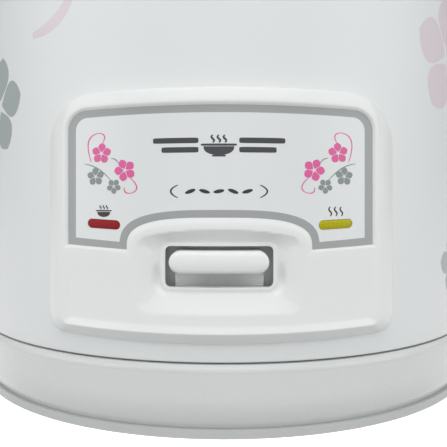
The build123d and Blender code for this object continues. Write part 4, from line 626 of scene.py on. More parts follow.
def relief(loops, points, front, back, is_open, warp=lambda x, z: z, back_step=6.0):
    """Closed shell over outlines in x and z: a fine front, a plain back and walls between them."""
    coords, edges = [], []
    for loop in loops:
        start = len(coords)
        coords += [Vector(p) for p in loop]
        edges += [(start + i, start + (i + 1) % len(loop)) for i in range(len(loop))]
    coords += [Vector(p) for p in points]
    verts, _, faces, _, _, _ = delaunay_2d_cdt(coords, edges, [], 1, 1e-4)
    shape = bmesh.new()
    facing = shape.loops.layers.float_vector.new(FACING)
    skin = [shape.verts.new((p.x, front(p.x, p.y), warp(p.x, p.y))) for p in verts]
    normals = [front_normal(front, p.x, p.y) for p in verts]
    kept = []
    for face in faces:
        middle = sum((verts[i] for i in face), Vector((0, 0))) / len(face)
        if not is_open(middle.x, middle.y):
            kept.append(face)
            for corner, i in zip(shape.faces.new([skin[i] for i in face]).loops, face):
                corner[facing] = normals[i]
    sides = open_sides(kept)
    rim = sorted({i for side in sides for i in side})
    index = {i: k for k, i in enumerate(rim)}
    low = [verts[i].copy() for i in rim]
    rim_edges = [(index[a], index[b]) for a, b in sides]
    xs = [p.x for p in low]
    zs = [p.y for p in low]
    x = min(xs) + back_step / 2
    while x < max(xs):
        z = min(zs) + back_step / 2
        while z < max(zs):
            if not is_open(x, z) and min((p - Vector((x, z))).length for p in low) > back_step / 3:
                low.append(Vector((x, z)))
            z += back_step
        x += back_step
    flat, _, back_faces, origin, _, _ = delaunay_2d_cdt(low, rim_edges, [], 1, 1e-4)
    rear = [shape.verts.new((p.x, back(p.x, p.y), warp(p.x, p.y))) for p in flat]
    where = {k: i for i, sources in enumerate(origin) for k in sources}
    for face in back_faces:
        middle = sum((flat[i] for i in face), Vector((0, 0))) / len(face)
        if not is_open(middle.x, middle.y):
            shape.faces.new([rear[i] for i in reversed(face)])
    for a, b in sides:
        shape.faces.new([skin[b], skin[a], rear[where[index[a]]], rear[where[index[b]]]])
    stray = [v for v in shape.verts if not v.link_faces]
    bmesh.ops.delete(shape, geom=stray, context="VERTS")
    return shape


def scatter(x0, x1, z0, z1, step, keep):
    """Points of an even grid that pass a test."""
    across = round((x1 - x0) / step)
    up = round((z1 - z0) / step)
    spots = [(x0 + step * (i + 0.5 * (k % 2)), z0 + step * k) for i in range(across) for k in range(up)]
    return [p for p in spots if keep(*p)]


def in_dish(x, z):
    """Whether a point lies where the fine grid is."""
    return abs(x) < DISH_GRID_HALF and DISH_GRID_Z[0] < z < DISH_GRID_Z[1]


def clear_of_edges(x, z, room):
    """Whether a point lies away from the edges of film, slot and lens holes."""
    return abs(film_inset(x, z)) > room and slot_outset(x, z) > room and lens_outset(x, z) > room


slot_loop = plate_loop(SLOT_HALF, SLOT_Z0, SLOT_Z1, SLOT_CORNER, SLOT_CORNER, 0.5)
lens_loops = [lens_loop(x, LENS_W + 2 * LENS_GAP, LENS_H + 2 * LENS_GAP) for x in (-LENS_X, LENS_X)]
panel_points = []
for inset in RIM_ROWS:
    panel_points += panel_loop(inset)
for away in BEVEL_ROWS:
    panel_points += [p for p in film_loop(-away) if panel_inset(*p) > RIM_W]
for inset in CREST_ROWS:
    panel_points += [p for p in panel_loop(inset) if film_inset(*p) < -BEVEL_W]
for inset in LIP_ROWS:
    lip_loop = plate_loop(LIP_HALF - inset, LIP_FOOT + inset, PANEL_MID, max(LIP_CORNER - inset, 0.5),
                          LIP_CORNER, FINE_GRID)
    panel_points += [p for p in lip_loop if film_inset(*p) < -LIP_ROOM]
panel_points += scatter(-DISH_GRID_HALF, DISH_GRID_HALF, *DISH_GRID_Z, FINE_GRID,
                        lambda x, z: clear_of_edges(x, z, FINE_GRID / 2) and panel_inset(x, z) > FINE_EDGE
                        and film_inset(x, z) < 0)
panel_points += scatter(-PANEL_GRID_HALF, PANEL_GRID_HALF, *PANEL_GRID_Z, COARSE_GRID,
                        lambda x, z: clear_of_edges(x, z, COARSE_ROOM) and panel_inset(x, z) > COARSE_EDGE
                        and (film_inset(x, z) > 0 or not in_dish(x, z)))
panel_shape = relief([panel_loop(0), film_loop(-WALL_HALF), film_loop(WALL_HALF), slot_loop] + lens_loops,
                     panel_points, panel_front, panel_back,
                     lambda x, z: slot_outset(x, z) < 0 or lens_outset(x, z) < 0, sag)
white_abs = moulded("Moulded ABS, white semi-gloss", WHITE_ABS, 0.32, 0.4, 0.003, flow=0.985)
piece("panel_moulding", panel_shape, white_abs, "cooker", "white_plastic", "panel_bezel")

# Film: the printed plate let into the panel around the switch, silver-white with a grey border.
# It is a thin polycarbonate sheet, bent to the body's curve and glued into its bed.
BORDER = 2.75
BORDER_SIDE = 0.55
FILM_ROOM = 0.8
FILM_WHITE = "#E3E6E6"
FILM_GREY = "#A1A4A5"
film_points = scatter(-FILM_HALF, FILM_HALF, FILM_FOOT_IN, FILM_TOP, COARSE_GRID,
                      lambda x, z: min(film_inset(x, z), lens_outset(x, z),
                                       abs(film_inset(x, z, BORDER_SIDE) - BORDER)) > FILM_ROOM)
film_shape = relief([film_loop(0), film_loop(BORDER, BORDER_SIDE)] + lens_loops, film_points,
                    lambda x, z: on_body(x, FILM_LEVEL), lambda x, z: on_body(x, FILM_LEVEL - FILM_T),
                    lambda x, z: lens_outset(x, z) < 0 or film_inset(x, z) < 0, sag)
for face in film_shape.faces:
    middle = face.calc_center_median()
    level = middle.z + (middle.z - sag(middle.x, middle.z))
    face.material_index = 0 if film_inset(middle.x, level, BORDER_SIDE) > BORDER else 1
film_white = moulded("Printed film, silver white", FILM_WHITE, 0.3, 0.6, 0.003, flow=0.98)
film_grey = moulded("Printed film, grey border", FILM_GREY, 0.32, 0.6, 0.003, flow=0.96)
piece("panel_film", film_shape, [film_white, film_grey], "cooker", "label_plate", "panel_label")

# Lenses: two tinted acrylic light pipes, red and yellow, pushed through the panel from behind.
# Each is a bar with round ends and a slight dome, a hair proud of the film.
LENS_PROUD = 0.3
LENS_DOME = 0.35
LENS_DEEP = 7.0
LENS_ROWS = (0.2, 0.45, 0.75, 1.1, 1.45)
LENS_BARS = 5.6
LENS_COLOURS = {"cook": (-LENS_X, "#930D16", "red_lens"), "warm": (LENS_X, "#B4AE00", "yellow_lens")}


def acrylic(name, colour):
    """Tinted acrylic over a dark well: deep colour, a clear gloss and fine moulded bars inside."""
    material, tree, shader, place = finish_nodes(name)
    bars = add(tree, "ShaderNodeTexWave", {"Vector": place, "Scale": 1 / (LENS_BARS * MM), "Distortion": 0.4},
               bands_direction="X")
    deep = [c * 0.9 for c in linear(colour)[:3]] + [1.0]
    tint = add(tree, "ShaderNodeMix", {"Factor": bars.outputs["Fac"], MIX_A: deep, MIX_B: linear(colour)},
               data_type="RGBA")
    tree.links.new(tint.outputs[MIX_RESULT], shader.inputs["Base Color"])
    shader.inputs["Roughness"].default_value = 0.22
    shader.inputs["IOR"].default_value = 1.49
    shader.inputs["Specular IOR Level"].default_value = 0.2
    return material


def lens_front(x, z):
    """Depth of a lens's domed face."""
    inset = max(-(lens_outset(x, z) + LENS_GAP), 0)
    return on_body(x, FILM_LEVEL + LENS_PROUD - LENS_DOME * (1 - blend(inset, 0, LENS_H / 3)))


for lamp, (lens_x, colour, slot) in LENS_COLOURS.items():
    inner = []
    for inset in LENS_ROWS:
        inner += lens_loop(lens_x, LENS_W - 2 * inset, LENS_H - 2 * inset)
    lens_shape = relief([lens_loop(lens_x, LENS_W, LENS_H)], inner, lens_front,
                        lambda x, z: on_body(x, FILM_LEVEL - LENS_DEEP), lambda x, z: False, sag)
    piece(lamp + "_lens_pipe", lens_shape, acrylic("Acrylic, " + lamp + " lamp tint", colour), "cooker", slot,
          lamp + "_lens")

# Switch knob: a white bar with round ends and a softly bowed front, a neck through the slot and a
# plate behind it that closes the slot, clipped on the lever.
KNOB_HALF = 18.3
KNOB_H = 8.3
KNOB_Z = 65.95
KNOB_FRONT = -135.5
KNOB_BACK = -129.5
KNOB_ROUND = 1.3
KNOB_BOW = 0.9
KNOB_CROWN = 1.0
KNOB_ROWS = (0.08, 0.3, 0.65, 1.1, 1.6, 2.1, 2.6, 3.2)
KNOB_STEP = 0.6
NECK = (14.0, -130.5, -122.0, 62.3, 69.6)
SKIRT = (16.6, -126.4, -121.2, 54.4, 70.1)
SKIRT_CORNER = 1.0
SKIRT_ROOM = 0.3
SKIRT_HOLLOW = 4.6
SKIRT_NARROW = 2.2
SKIRT_LINE = 0.06
SKIRT_LINE_STEP = 0.85
SHUTTER = (21.6, -122.2, -121.2, 53.4, 76.0)
CLIP = (11.0, -122.4, -116.3, 59.95, 67.55)


def knob_outset(x, z):
    """How far a point lies outside the knob's outline."""
    along = max(abs(x) - (KNOB_HALF - KNOB_H / 2), 0)
    return math.hypot(along, z - KNOB_Z) - KNOB_H / 2


def knob_front(x, z):
    """Depth of the knob's face, with a rounded edge, a crown and a bow."""
    inset = max(-knob_outset(x, z), 0)
    edge = KNOB_ROUND - math.sqrt(max(KNOB_ROUND**2 - max(KNOB_ROUND - inset, 0) ** 2, 0))
    crown = KNOB_CROWN * (2 * (z - KNOB_Z) / KNOB_H) ** 2
    return KNOB_FRONT + edge + crown + KNOB_BOW * (x / KNOB_HALF) ** 2


def bar(shape, half, y0, y1, z0, z1):
    """A plain block between two depths and two heights, centred across."""
    size = Matrix.Diagonal((2 * half, y1 - y0, z1 - z0, 1))
    spot = Matrix.Translation((0, (y0 + y1) / 2, (z0 + z1) / 2))
    bmesh.ops.create_cube(shape, size=1, matrix=spot @ size)


knob_points = []
for inset in KNOB_ROWS:
    knob_points += pill_loop(0, KNOB_Z, 2 * KNOB_HALF - 2 * inset, KNOB_H - 2 * inset, KNOB_STEP)
knob_shape = relief([pill_loop(0, KNOB_Z, 2 * KNOB_HALF, KNOB_H, KNOB_STEP)], knob_points, knob_front,
                    lambda x, z: KNOB_BACK, lambda x, z: False)
for block in (NECK, CLIP, SHUTTER):
    bar(knob_shape, *block)
skirt_half, skirt_front, skirt_back, skirt_foot, skirt_top = SKIRT


def skirt_face(x, z):
    """Hollow in the middle, with fine moulded lines towards the ends."""
    ends = blend(abs(x), skirt_half / 2, skirt_half)
    lines = SKIRT_LINE * math.sin(2 * math.pi * z / SKIRT_LINE_STEP) * ends
    hollow = SKIRT_HOLLOW * max(1 - (x / skirt_half) ** 2, 0) ** SKIRT_NARROW
    return skirt_front + SKIRT_LINE + hollow + lines


skirt_points = scatter(-skirt_half + SKIRT_CORNER, skirt_half, skirt_foot + SKIRT_CORNER, skirt_top,
                       SKIRT_LINE_STEP / 4,
                       lambda x, z: abs(x) < skirt_half - SKIRT_ROOM and z < skirt_top - SKIRT_ROOM)
skirt_shape = relief([plate_loop(skirt_half, skirt_foot, skirt_top, SKIRT_CORNER, SKIRT_CORNER)],
                     skirt_points, skirt_face, lambda x, z: skirt_back, lambda x, z: False)
skirt_mesh = bpy.data.meshes.new("skirt")
skirt_shape.to_mesh(skirt_mesh)
skirt_shape.free()
knob_shape.from_mesh(skirt_mesh)
bpy.data.meshes.remove(skirt_mesh)
piece("switch_bar", knob_shape, white_abs, "lever", "white_plastic", "switch_knob")

# Film print: blossom sprigs in the upper corners, a bowl sign between bars, a row of grains and two
# lamp signs, screen-printed on the film. The ink is a thin raised skin built from strips of quads.
INK_LIFT = 0.05
INK_SUNK = 0.05
INK_CHARCOAL = "#3F4147"
INK_BLACK = "#222325"
INK_PINK = "#E0609F"
INK_GREY = "#8A9393"
PETALS = 5
PETAL_GAP = 0.14
PETAL_W = 0.84
PETAL_ROWS = 8
PETAL_STEPS = 12
PETAL_LEAN = 1.3
PETAL_BLUNT = 0.7
BLUNT_END = 0.0004
FILM_PINK = [(-44.4, 106.4, 3.5, 12), (-35.0, 99.8, 3.7, 40)]
FILM_LEAVES = [(-46.8, 97.6, 3.1, 20), (-39.4, 93.8, 2.5, 55)]
FILM_CURLS = [((-48.6, 103.2), (-52.4, 113.6), (-45.4, 114.2), 0.5),
              ((-45.4, 114.2), (-41.8, 113.8), (-43.8, 110.4), 0.5),
              ((-33.0, 97.0), (-28.0, 92.6), (-32.6, 91.2), 0.5),
              ((-32.6, 91.2), (-35.6, 90.8), (-35.2, 93.4), 0.5)]
STEM_W = 0.45
FILM_STEMS = [((-51.4, 102.6), (-45.4, 101.8), (-40.6, 96.0), STEM_W),
              ((-40.4, 104.4), (-38.4, 104.2), (-37.4, 102.4), STEM_W)]
SIGN_Z = 108.6
SIGN_BARS = [(15.8, 1.7, 16.8, 2.0), (14.2, -1.7, 13.6, 2.0)]
BOWL = (SIGN_Z - 0.5, 5.6, 3.2)
BOWL_RIM = (SIGN_Z + 0.1, 13.0, 0.8)
BOWL_FOOT = (SIGN_Z - 3.9, 5.0, 0.6)
STEAM_X = (-2.2, 0.0, 2.2)
STEAM = (SIGN_Z + 0.9, 2.7, 0.8)
GRAIN_Z = 91.8
GRAIN_SIZE = (4.0, 1.35)
GRAINS = [(-10.4, 20), (-5.2, -15), (0.0, 10), (5.2, -20), (10.4, 15)]
BRACKET_X = 15.0
BRACKET_OUT = 5.2
BRACKET_RISE = 2.3
BRACKET_W = 0.6
LAMP_SIGN_Z = 84.3
COOK_POT = (LAMP_SIGN_Z - 0.1, 2.6, 1.9)
COOK_LID = (LAMP_SIGN_Z + 0.35, 6.4, 0.5)
COOK_STEAM = (LAMP_SIGN_Z + 0.9, 1.5, 0.45, 0.3)
COOK_STEAM_CLOSE = 0.6
WARM_WAVES = (LAMP_SIGN_Z - 1.6, 3.4, 0.6)


def band(lower, upper, parts=1):
    """Strip of quads between two lines of points, in one or more rows."""
    count = len(lower)
    points, faces = list(lower), []
    for row in range(parts):
        points += [a.lerp(b, (row + 1) / parts) for a, b in zip(lower, upper)]
        start = row * count
        faces += [(k, k + 1, k + count + 1, k + count) for k in range(start, start + count - 1)]
    return points, faces


def ribbon(path, widths, parts=1):
    """Strip along a path, with its width at each point."""
    left, right = [], []
    for k, here in enumerate(path):
        ahead = Vector(path[min(k + 1, len(path) - 1)]) - Vector(path[max(k - 1, 0)])
        side = Vector((-ahead.y, ahead.x)).normalized() * widths[k] / 2
        left.append(Vector(here) + side)
        right.append(Vector(here) - side)
    return band(right, left, parts)


def curve(first, control, last, width, steps=16):
    """Ribbon along a bent line that thins towards its ends."""
    path, widths = [], []
    for k in range(steps + 1):
        t = k / steps
        path.append(Vector(first) * (1 - t) ** 2 + Vector(control) * 2 * t * (1 - t) + Vector(last) * t * t)
        widths.append(width * (0.55 + 0.45 * math.sin(math.pi * t)))
    return ribbon(path, widths)


def bean(x, z, length, width, degrees=0.0, power=2.0, steps=16):
    """Long rounded shape: an ellipse at power 2, a bar with soft ends at higher powers."""
    turn = math.radians(degrees)
    ahead = Vector((math.cos(turn), math.sin(turn)))
    spots = [-math.cos(math.pi * k / steps) for k in range(steps + 1)]
    path = [Vector((x, z)) + ahead * (t * length / 2) for t in spots]
    return ribbon(path, [width * max(1 - abs(t) ** power, BLUNT_END) ** (1 / power) for t in spots])


def wave(x, z, height, width, swing=0.5, steps=14):
    """Ribbon that rises in one S, as steam is drawn."""
    rows = [k / steps for k in range(steps + 1)]
    path = [(x + swing * math.sin(2 * math.pi * t), z + height * t) for t in rows]
    return ribbon(path, [width * (0.6 + 0.4 * math.sin(math.pi * t)) for t in rows])


def bowl(x, top, half, deep, steps=16):
    """Filled half round that hangs from a level line."""
    spots = [-math.cos(math.pi * k / steps) for k in range(steps + 1)]
    lower = [Vector((x + half * t, top - deep * max(1 - t * t, BLUNT_END) ** 0.4)) for t in spots]
    return band(lower, [Vector((x + half * t, top)) for t in spots])


def gathered(strips):
    """One list of points and one of faces from many strips."""
    points, faces = [], []
    for more, quads in strips:
        faces += [tuple(len(points) + k for k in quad) for quad in quads]
        points += more
    return points, faces


def inked(name, strips, place, ink, slot):
    """Printed layer: flat strips laid on a surface as a thin closed skin."""
    points, faces = gathered(strips)
    shape = bmesh.new()
    upper = [shape.verts.new(place(p.x, p.y, INK_LIFT)) for p in points]
    lower = [shape.verts.new(place(p.x, p.y, -INK_SUNK)) for p in points]
    for face in faces:
        shape.faces.new([upper[k] for k in face])
        shape.faces.new([lower[k] for k in reversed(face)])
    for a, b in open_sides(faces):
        shape.faces.new((upper[b], upper[a], lower[a], lower[b]))
    return piece(name, shape, ink, "cooker", slot)


def blossom_nodes():
    """Node group that sets a ring of petals on every point, by the point's size and turn."""
    group = bpy.data.node_groups.new("Blossoms", "GeometryNodeTree")
    sockets = group.interface
    sockets.new_socket("Spots", in_out="INPUT", socket_type="NodeSocketGeometry")
    petal_in = sockets.new_socket("Petal", in_out="INPUT", socket_type="NodeSocketObject")
    count_in = sockets.new_socket("Petals", in_out="INPUT", socket_type="NodeSocketInt")
    gap_in = sockets.new_socket("Gap", in_out="INPUT", socket_type="NodeSocketFloat")
    ink_in = sockets.new_socket("Ink", in_out="INPUT", socket_type="NodeSocketMaterial")
    sockets.new_socket("Blossoms", in_out="OUTPUT", socket_type="NodeSocketGeometry")
    given = add(group, "NodeGroupInput").outputs
    ring = add(group, "GeometryNodeMeshCircle", {"Vertices": given["Petals"], "Radius": given["Gap"]})
    order = add(group, "GeometryNodeInputIndex")
    share = add(group, "ShaderNodeMath", {0: order.outputs[0], 1: given["Petals"]}, operation="DIVIDE")
    angle = add(group, "ShaderNodeMath", {0: share.outputs[0], 1: 2 * math.pi}, operation="MULTIPLY")
    spin = add(group, "ShaderNodeCombineXYZ", {"Z": angle.outputs[0]})
    facing = add(group, "FunctionNodeEulerToRotation", {0: spin.outputs[0]})
    petal = add(group, "GeometryNodeObjectInfo", {"Object": given["Petal"]})
    bloom = add(group, "GeometryNodeInstanceOnPoints",
                {"Points": ring.outputs[0], "Instance": petal.outputs["Geometry"],
                 "Rotation": facing.outputs[0]})
    bloom = add(group, "GeometryNodeRealizeInstances", {0: bloom.outputs[0]})
    size = add(group, "GeometryNodeInputNamedAttribute", {"Name": "size"}, data_type="FLOAT")
    turn = add(group, "GeometryNodeInputNamedAttribute", {"Name": "turn"}, data_type="FLOAT")
    lean = add(group, "ShaderNodeCombineXYZ", {"Z": turn.outputs[0]})
    lean = add(group, "FunctionNodeEulerToRotation", {0: lean.outputs[0]})
    spread = add(group, "GeometryNodeInstanceOnPoints",
                 {"Points": given["Spots"], "Instance": bloom.outputs[0], "Rotation": lean.outputs[0],
                  "Scale": size.outputs[0]})
    whole = add(group, "GeometryNodeRealizeInstances", {0: spread.outputs[0]})
    printed = add(group, "GeometryNodeSetMaterial", {"Geometry": whole.outputs[0], "Material": given["Ink"]})
    add(group, "NodeGroupOutput", {0: printed.outputs[0]})
    return group, [socket.identifier for socket in (petal_in, count_in, gap_in, ink_in)]


def blossoms(spots, ink):
    """Flat petals of blossoms, each given by its place, size and turn in degrees."""
    mesh = bpy.data.meshes.new("blossom_spots")
    mesh.from_pydata([(x, z, 0) for x, z, _, _ in spots], [], [])
    mesh.attributes.new("size", "FLOAT", "POINT").data.foreach_set("value", [s[2] for s in spots])
    turns = [math.radians(s[3]) for s in spots]
    mesh.attributes.new("turn", "FLOAT", "POINT").data.foreach_set("value", turns)
    holder = bpy.data.objects.new("blossom_spots", mesh)
    bpy.context.scene.collection.objects.link(holder)
    rows = [k / PETAL_STEPS for k in range(PETAL_STEPS + 1)]
    widths = [PETAL_W * max(math.sin(math.pi * t**PETAL_LEAN), 0.01) ** PETAL_BLUNT for t in rows]
    petal_points, petal_faces = ribbon([(t, 0.0) for t in rows], widths, PETAL_ROWS)
    petal_mesh = bpy.data.meshes.new("petal")
    petal_mesh.from_pydata([(p.x, p.y, 0) for p in petal_points], [], petal_faces)
    petal = bpy.data.objects.new("petal", petal_mesh)
    group, inputs = blossom_nodes()
    grow = holder.modifiers.new("Blossoms", "NODES")
    grow.node_group = group
    for socket, value in zip(inputs, (petal, PETALS, PETAL_GAP, ink)):
        grow[socket] = value
    flat = bpy.data.meshes.new_from_object(holder.evaluated_get(bpy.context.evaluated_depsgraph_get()))
    points = [Vector(v.co[:2]) for v in flat.vertices]
    faces = [tuple(f.vertices) for f in flat.polygons]
    holder.modifiers.remove(grow)
    bpy.data.objects.remove(holder)
    bpy.data.objects.remove(petal)
    return points, faces


def on_film(x, z, lift):
    """A place on the film, raised off it."""
    return Vector((x, on_body(x, FILM_LEVEL + lift), sag(x, z)))


def both_ways(spots):
    """Blossoms and their mirror images on the other side of the film."""
    return spots + [(-x, z, size, 180 - turn) for x, z, size, turn in spots]


def both_curves(bends):
    """Curved lines and their mirror images, which are all as thin as the stems."""
    mirror = [[(-x, z) for x, z in bend[:3]] for bend in bends]
    return [curve(*bend) for bend in bends] + [curve(*bend, STEM_W) for bend in mirror]


pink_ink = moulded("Printing ink, pink", INK_PINK, 0.4, 0.3, 0.001, flow=0.93)
grey_ink = moulded("Printing ink, grey", INK_GREY, 0.4, 0.3, 0.001, flow=0.9)
charcoal_ink = moulded("Printing ink, charcoal", INK_CHARCOAL, 0.4, 0.3, 0.001, flow=0.9)
black_ink = moulded("Printing ink, black", INK_BLACK, 0.4, 0.3, 0.001, flow=0.9)
pink_strips = [blossoms(both_ways(FILM_PINK), pink_ink)] + both_curves(FILM_CURLS)
inked("film_print_pink", pink_strips, on_film, pink_ink, "label_plate")
grey_strips = [blossoms(both_ways(FILM_LEAVES), grey_ink)] + both_curves(FILM_STEMS)
inked("film_print_grey", grey_strips, on_film, grey_ink, "label_plate")
sign = [bowl(0, *BOWL), bean(0, *BOWL_RIM, power=8), bean(0, *BOWL_FOOT, power=8)]
sign += [wave(x, *STEAM) for x in STEAM_X]
for x, rise, length, width in SIGN_BARS:
    sign += [bean(side * x, SIGN_Z + rise, length, width, power=10) for side in (-1, 1)]
inked("film_print_sign", sign, on_film, charcoal_ink, "label_plate")
marks = [bean(x, GRAIN_Z, *GRAIN_SIZE, turn) for x, turn in GRAINS]
for side in (-1, 1):
    marks.append(curve((side * BRACKET_X, GRAIN_Z + BRACKET_RISE),
                       (side * (BRACKET_X + BRACKET_OUT), GRAIN_Z),
                       (side * BRACKET_X, GRAIN_Z - BRACKET_RISE), BRACKET_W))
marks += [bowl(-LENS_X, *COOK_POT), bean(-LENS_X, *COOK_LID, power=8)]
marks += [wave(-LENS_X + x * COOK_STEAM_CLOSE, *COOK_STEAM) for x in STEAM_X]
marks += [wave(LENS_X + x, *WARM_WAVES) for x in STEAM_X]
inked("film_print_marks", marks, on_film, black_ink, "label_plate")

# Sleeve print: large blossoms in grey and faint pink and a pale leaf, transferred on the coat at the
# sides of the panel and around the back. They are laid out on the unrolled sleeve.
SLEEVE_GREY = "#A6AFAF"
SLEEVE_PINK = "#DDD3D8"
GREY_SPOTS = [(-115, 131, 19, 8), (122, 60, 12, 30), (210, 126, 16, 20), (-222, 66, 13, 50),
              (318, 140, 15, 0), (-318, 118, 18, 35)]
PINK_SPOTS = [(116, 152, 24, 18), (-206, 140, 22, 40), (236, 64, 20, 5), (-330, 62, 16, 25)]
PINK_LEAVES = [((-84, 157), (-65, 158), (-60, 174), 5.0), ((196, 92), (214, 96), (222, 110), 5.0),
               ((-262, 100), (-246, 104), (-240, 120), 5.0)]


def on_sleeve(x, z, lift):
    """A place on the unrolled sleeve, raised off it."""
    turn = x / body_r
    return Vector(((body_r + lift) * math.sin(turn), -(body_r + lift) * math.cos(turn), z))


sleeve_grey = moulded("Transfer print, grey", SLEEVE_GREY, 0.34, 0.4, 0.001, flow=0.94)
sleeve_pink = moulded("Transfer print, faint pink", SLEEVE_PINK, 0.34, 0.4, 0.001, flow=0.98)
inked("sleeve_print_grey", [blossoms(GREY_SPOTS, sleeve_grey)], on_sleeve, sleeve_grey, "sleeve_steel")
pale = [blossoms(PINK_SPOTS, sleeve_pink)] + [curve(*leaf) for leaf in PINK_LEAVES]
inked("sleeve_print_pink", pale, on_sleeve, sleeve_pink, "sleeve_steel")

# Top ring, lid and handle: ABS mouldings around the rim, white for the ring and the lid, light grey for
# the handle, the latch and the steam vent. The lid turns on the hinge, the handle on its two pins.
for node, body in (("top_ring", "cooker"), ("lid_outer", "lid"), ("lid_inner", "lid"),
                   ("handle_pins", "cooker")):
    finish_node(node, white_abs, body, "white_plastic")
for node, body in (("carry_handle", "handle"), ("latch_button", "latch"), ("vent_cap", "vent")):
    finish_node(node, grey_abs, body, "base_plastic")

# Seals, cover knob and cup: soft silicone in the lid and the vent, and a smoky polystyrene cup at the
# back, drawn out to the rear, that catches the drips. The CAD shapes are merged and shaded smooth.
SILICONE = "#D5D7D4"
CUP_TINT = "#D3D9DC"
CUP_HAZE = 14.0


def clear_plastic():
    """Smoky clear polystyrene: light passes through it, with a faint haze in its gloss."""
    material, tree, shader, place = finish_nodes("Polystyrene, smoky clear")
    haze = add(tree, "ShaderNodeTexNoise", {"Vector": place, "Scale": 1 / (CUP_HAZE * MM), "Detail": 2.0})
    gloss = add(tree, "ShaderNodeMapRange", {"Value": haze.outputs["Fac"], "To Min": 0.08, "To Max": 0.2})
    tree.links.new(gloss.outputs["Result"], shader.inputs["Roughness"])
    shader.inputs["Base Color"].default_value = linear(CUP_TINT)
    shader.inputs["Transmission Weight"].default_value = 0.75
    shader.inputs["IOR"].default_value = 1.5
    return material


silicone = moulded("Silicone rubber, milky", SILICONE, 0.5, 0.5, 0.01, flow=0.97)
for node, body in (("cover_knob", "lid"), ("lid_gasket", "lid"), ("vent_seal", "vent")):
    finish_node(node, silicone, body, "silicone")
finish_node("dew_cup", clear_plastic(), "collector", "clear_plastic")

# Pot, shell and heater: a drawn pot with a dark coat, the bright can around it, and the cast plate
# with the sensor in its middle.
ALUMINIUM = "#D6D7D8"
CAST_ALUMINIUM = "#BFC0C1"
POT_GREY = "#8C8D8F"
drawn = metal("Aluminium, drawn", ALUMINIUM, 0.3, 1.2, 0.003)
cast = metal("Aluminium, cast and turned", CAST_ALUMINIUM, 0.42, 0.6, 0.01)
coated = metal("Aluminium, coated pot", POT_GREY, 0.36, 0.8, 0.004)
for node, body in (("inner_shell", "cooker"), ("thermostat_case", "cooker"), ("sensor_cap", "sensor"),
                   ("inner_cover", "lid")):
    finish_node(node, drawn, body, "liner_aluminium")
finish_node("heating_plate", cast, "cooker", "heater_aluminium")
finish_node("inner_pot", coated, "pot", "pot_aluminium")

# Lever and fixings: pressed zinc-plated strip, turned pins and studs, the two ferrite blocks of the
# thermostat, and two springs of steel wire, held at one end, each given its own copy of its mesh. The
# table lists for each spring the joint that presses it, its axis, its held end and its travel.
STRIP_ZINC = "#B9BCBF"
SPRING_WIRE = "#A0A2A4"
FERRITE = "#4A4A4C"
SPRINGS = {"sensor_spring": ("sensor_press", (0, 0, 1), 0, 1.6),
           "latch_spring": ("latch_press", (0, 1, 0), 1, 3.0)}
pressed = metal("Zinc-plated steel, pressed strip", STRIP_ZINC, 0.4, 0.7, 0.005)
wire = metal("Spring wire, drawn steel", SPRING_WIRE, 0.3, 0.4, 0.003)
sintered = moulded("Ferrite, sintered", FERRITE, 0.6, 0.3, 0.03, flow=0.85)
for node, body in (("liner_brackets", "cooker"), ("plate_spacers", "cooker"), ("lever_bracket", "cooker"),
                   ("lever_arm", "lever"), ("thermal_fuse", "cooker")):
    finish_node(node, pressed, body, "bracket_steel")
for node, body in (("plate_studs", "cooker"), ("pull_rod", "plunger"), ("lever_pin", "cooker"),
                   ("hinge_pin", "cooker")):
    finish_node(node, zinc, body, "screw_steel")
for node, (joint, axis, held_end, travel) in SPRINGS.items():
    spring = finish_node(node, wire, "cooker", "spring_steel")
    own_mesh(spring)
for node, body in (("ferrite", "sensor"), ("magnet", "plunger")):
    finish_node(node, sintered, body, "ferrite_block")

# Wiring: black phenolic switch and blocks, silicone-covered leads, brass pins, and the lamps on their
# paper boards behind the lenses.
PHENOLIC = "#3A3A3D"
LEAD_WHITE = "#DFDFDB"
BRASS = "#D9C48C"
BOARD_TAN = "#A68A58"
LAMP_GLASS = "#E9CDBB"
phenolic = moulded("Phenolic moulding, black", PHENOLIC, 0.45, 0.5, 0.01, flow=0.85)
lead = moulded("Silicone insulation, white", LEAD_WHITE, 0.5, 0.6, 0.01)
brass = metal("Brass, stamped", BRASS, 0.3, 0.5, 0.003)
board = moulded("Paper laminate, tan", BOARD_TAN, 0.55, 0.4, 0.01, flow=0.85)
glass = moulded("Neon lamp glass", LAMP_GLASS, 0.12, 3.0, 0.002)
for node in ("power_inlet", "micro_switch", "terminal_block"):
    finish_node(node, phenolic, "cooker", "switch_plastic")
for node in ("warming_band", "wiring"):
    finish_node(node, lead, "cooker", "wire_cover")
finish_node("inlet_pins", brass, "cooker", "brass_pins")
finish_node("lamp_board", board, "cooker", "board")
finish_node("neon_lamps", glass, "cooker", "lamp_glass")

# Camera: at the photograph's height and angle, close in front of the panel. Its focal length, place
# and shift come from the fit of the seam, the base and the panel's edges.
PHOTO_PX = 447
FOCAL_PX = 586.6
CAMERA_AWAY = 346.7
CAMERA_UP = 88.1
CAMERA_TURN = math.radians(0.95)
HORIZON_PX = 201.5
AXIS_PX = 225.0
camera_data = bpy.data.cameras.new("camera")
camera_data.sensor_width = 36.0
camera_data.lens = FOCAL_PX / PHOTO_PX * camera_data.sensor_width
camera_data.shift_x = (PHOTO_PX / 2 - AXIS_PX) / PHOTO_PX
camera_data.shift_y = (HORIZON_PX - PHOTO_PX / 2) / PHOTO_PX
camera_data.clip_start = 0.01
camera = bpy.data.objects.new("camera", camera_data)
camera.location = (CAMERA_AWAY * math.sin(CAMERA_TURN) * MM, -CAMERA_AWAY * math.cos(CAMERA_TURN) * MM,
                   CAMERA_UP * MM)
camera.rotation_euler = (math.pi / 2, 0, CAMERA_TURN)
bpy.context.scene.collection.objects.link(camera)
bpy.context.scene.camera = camera

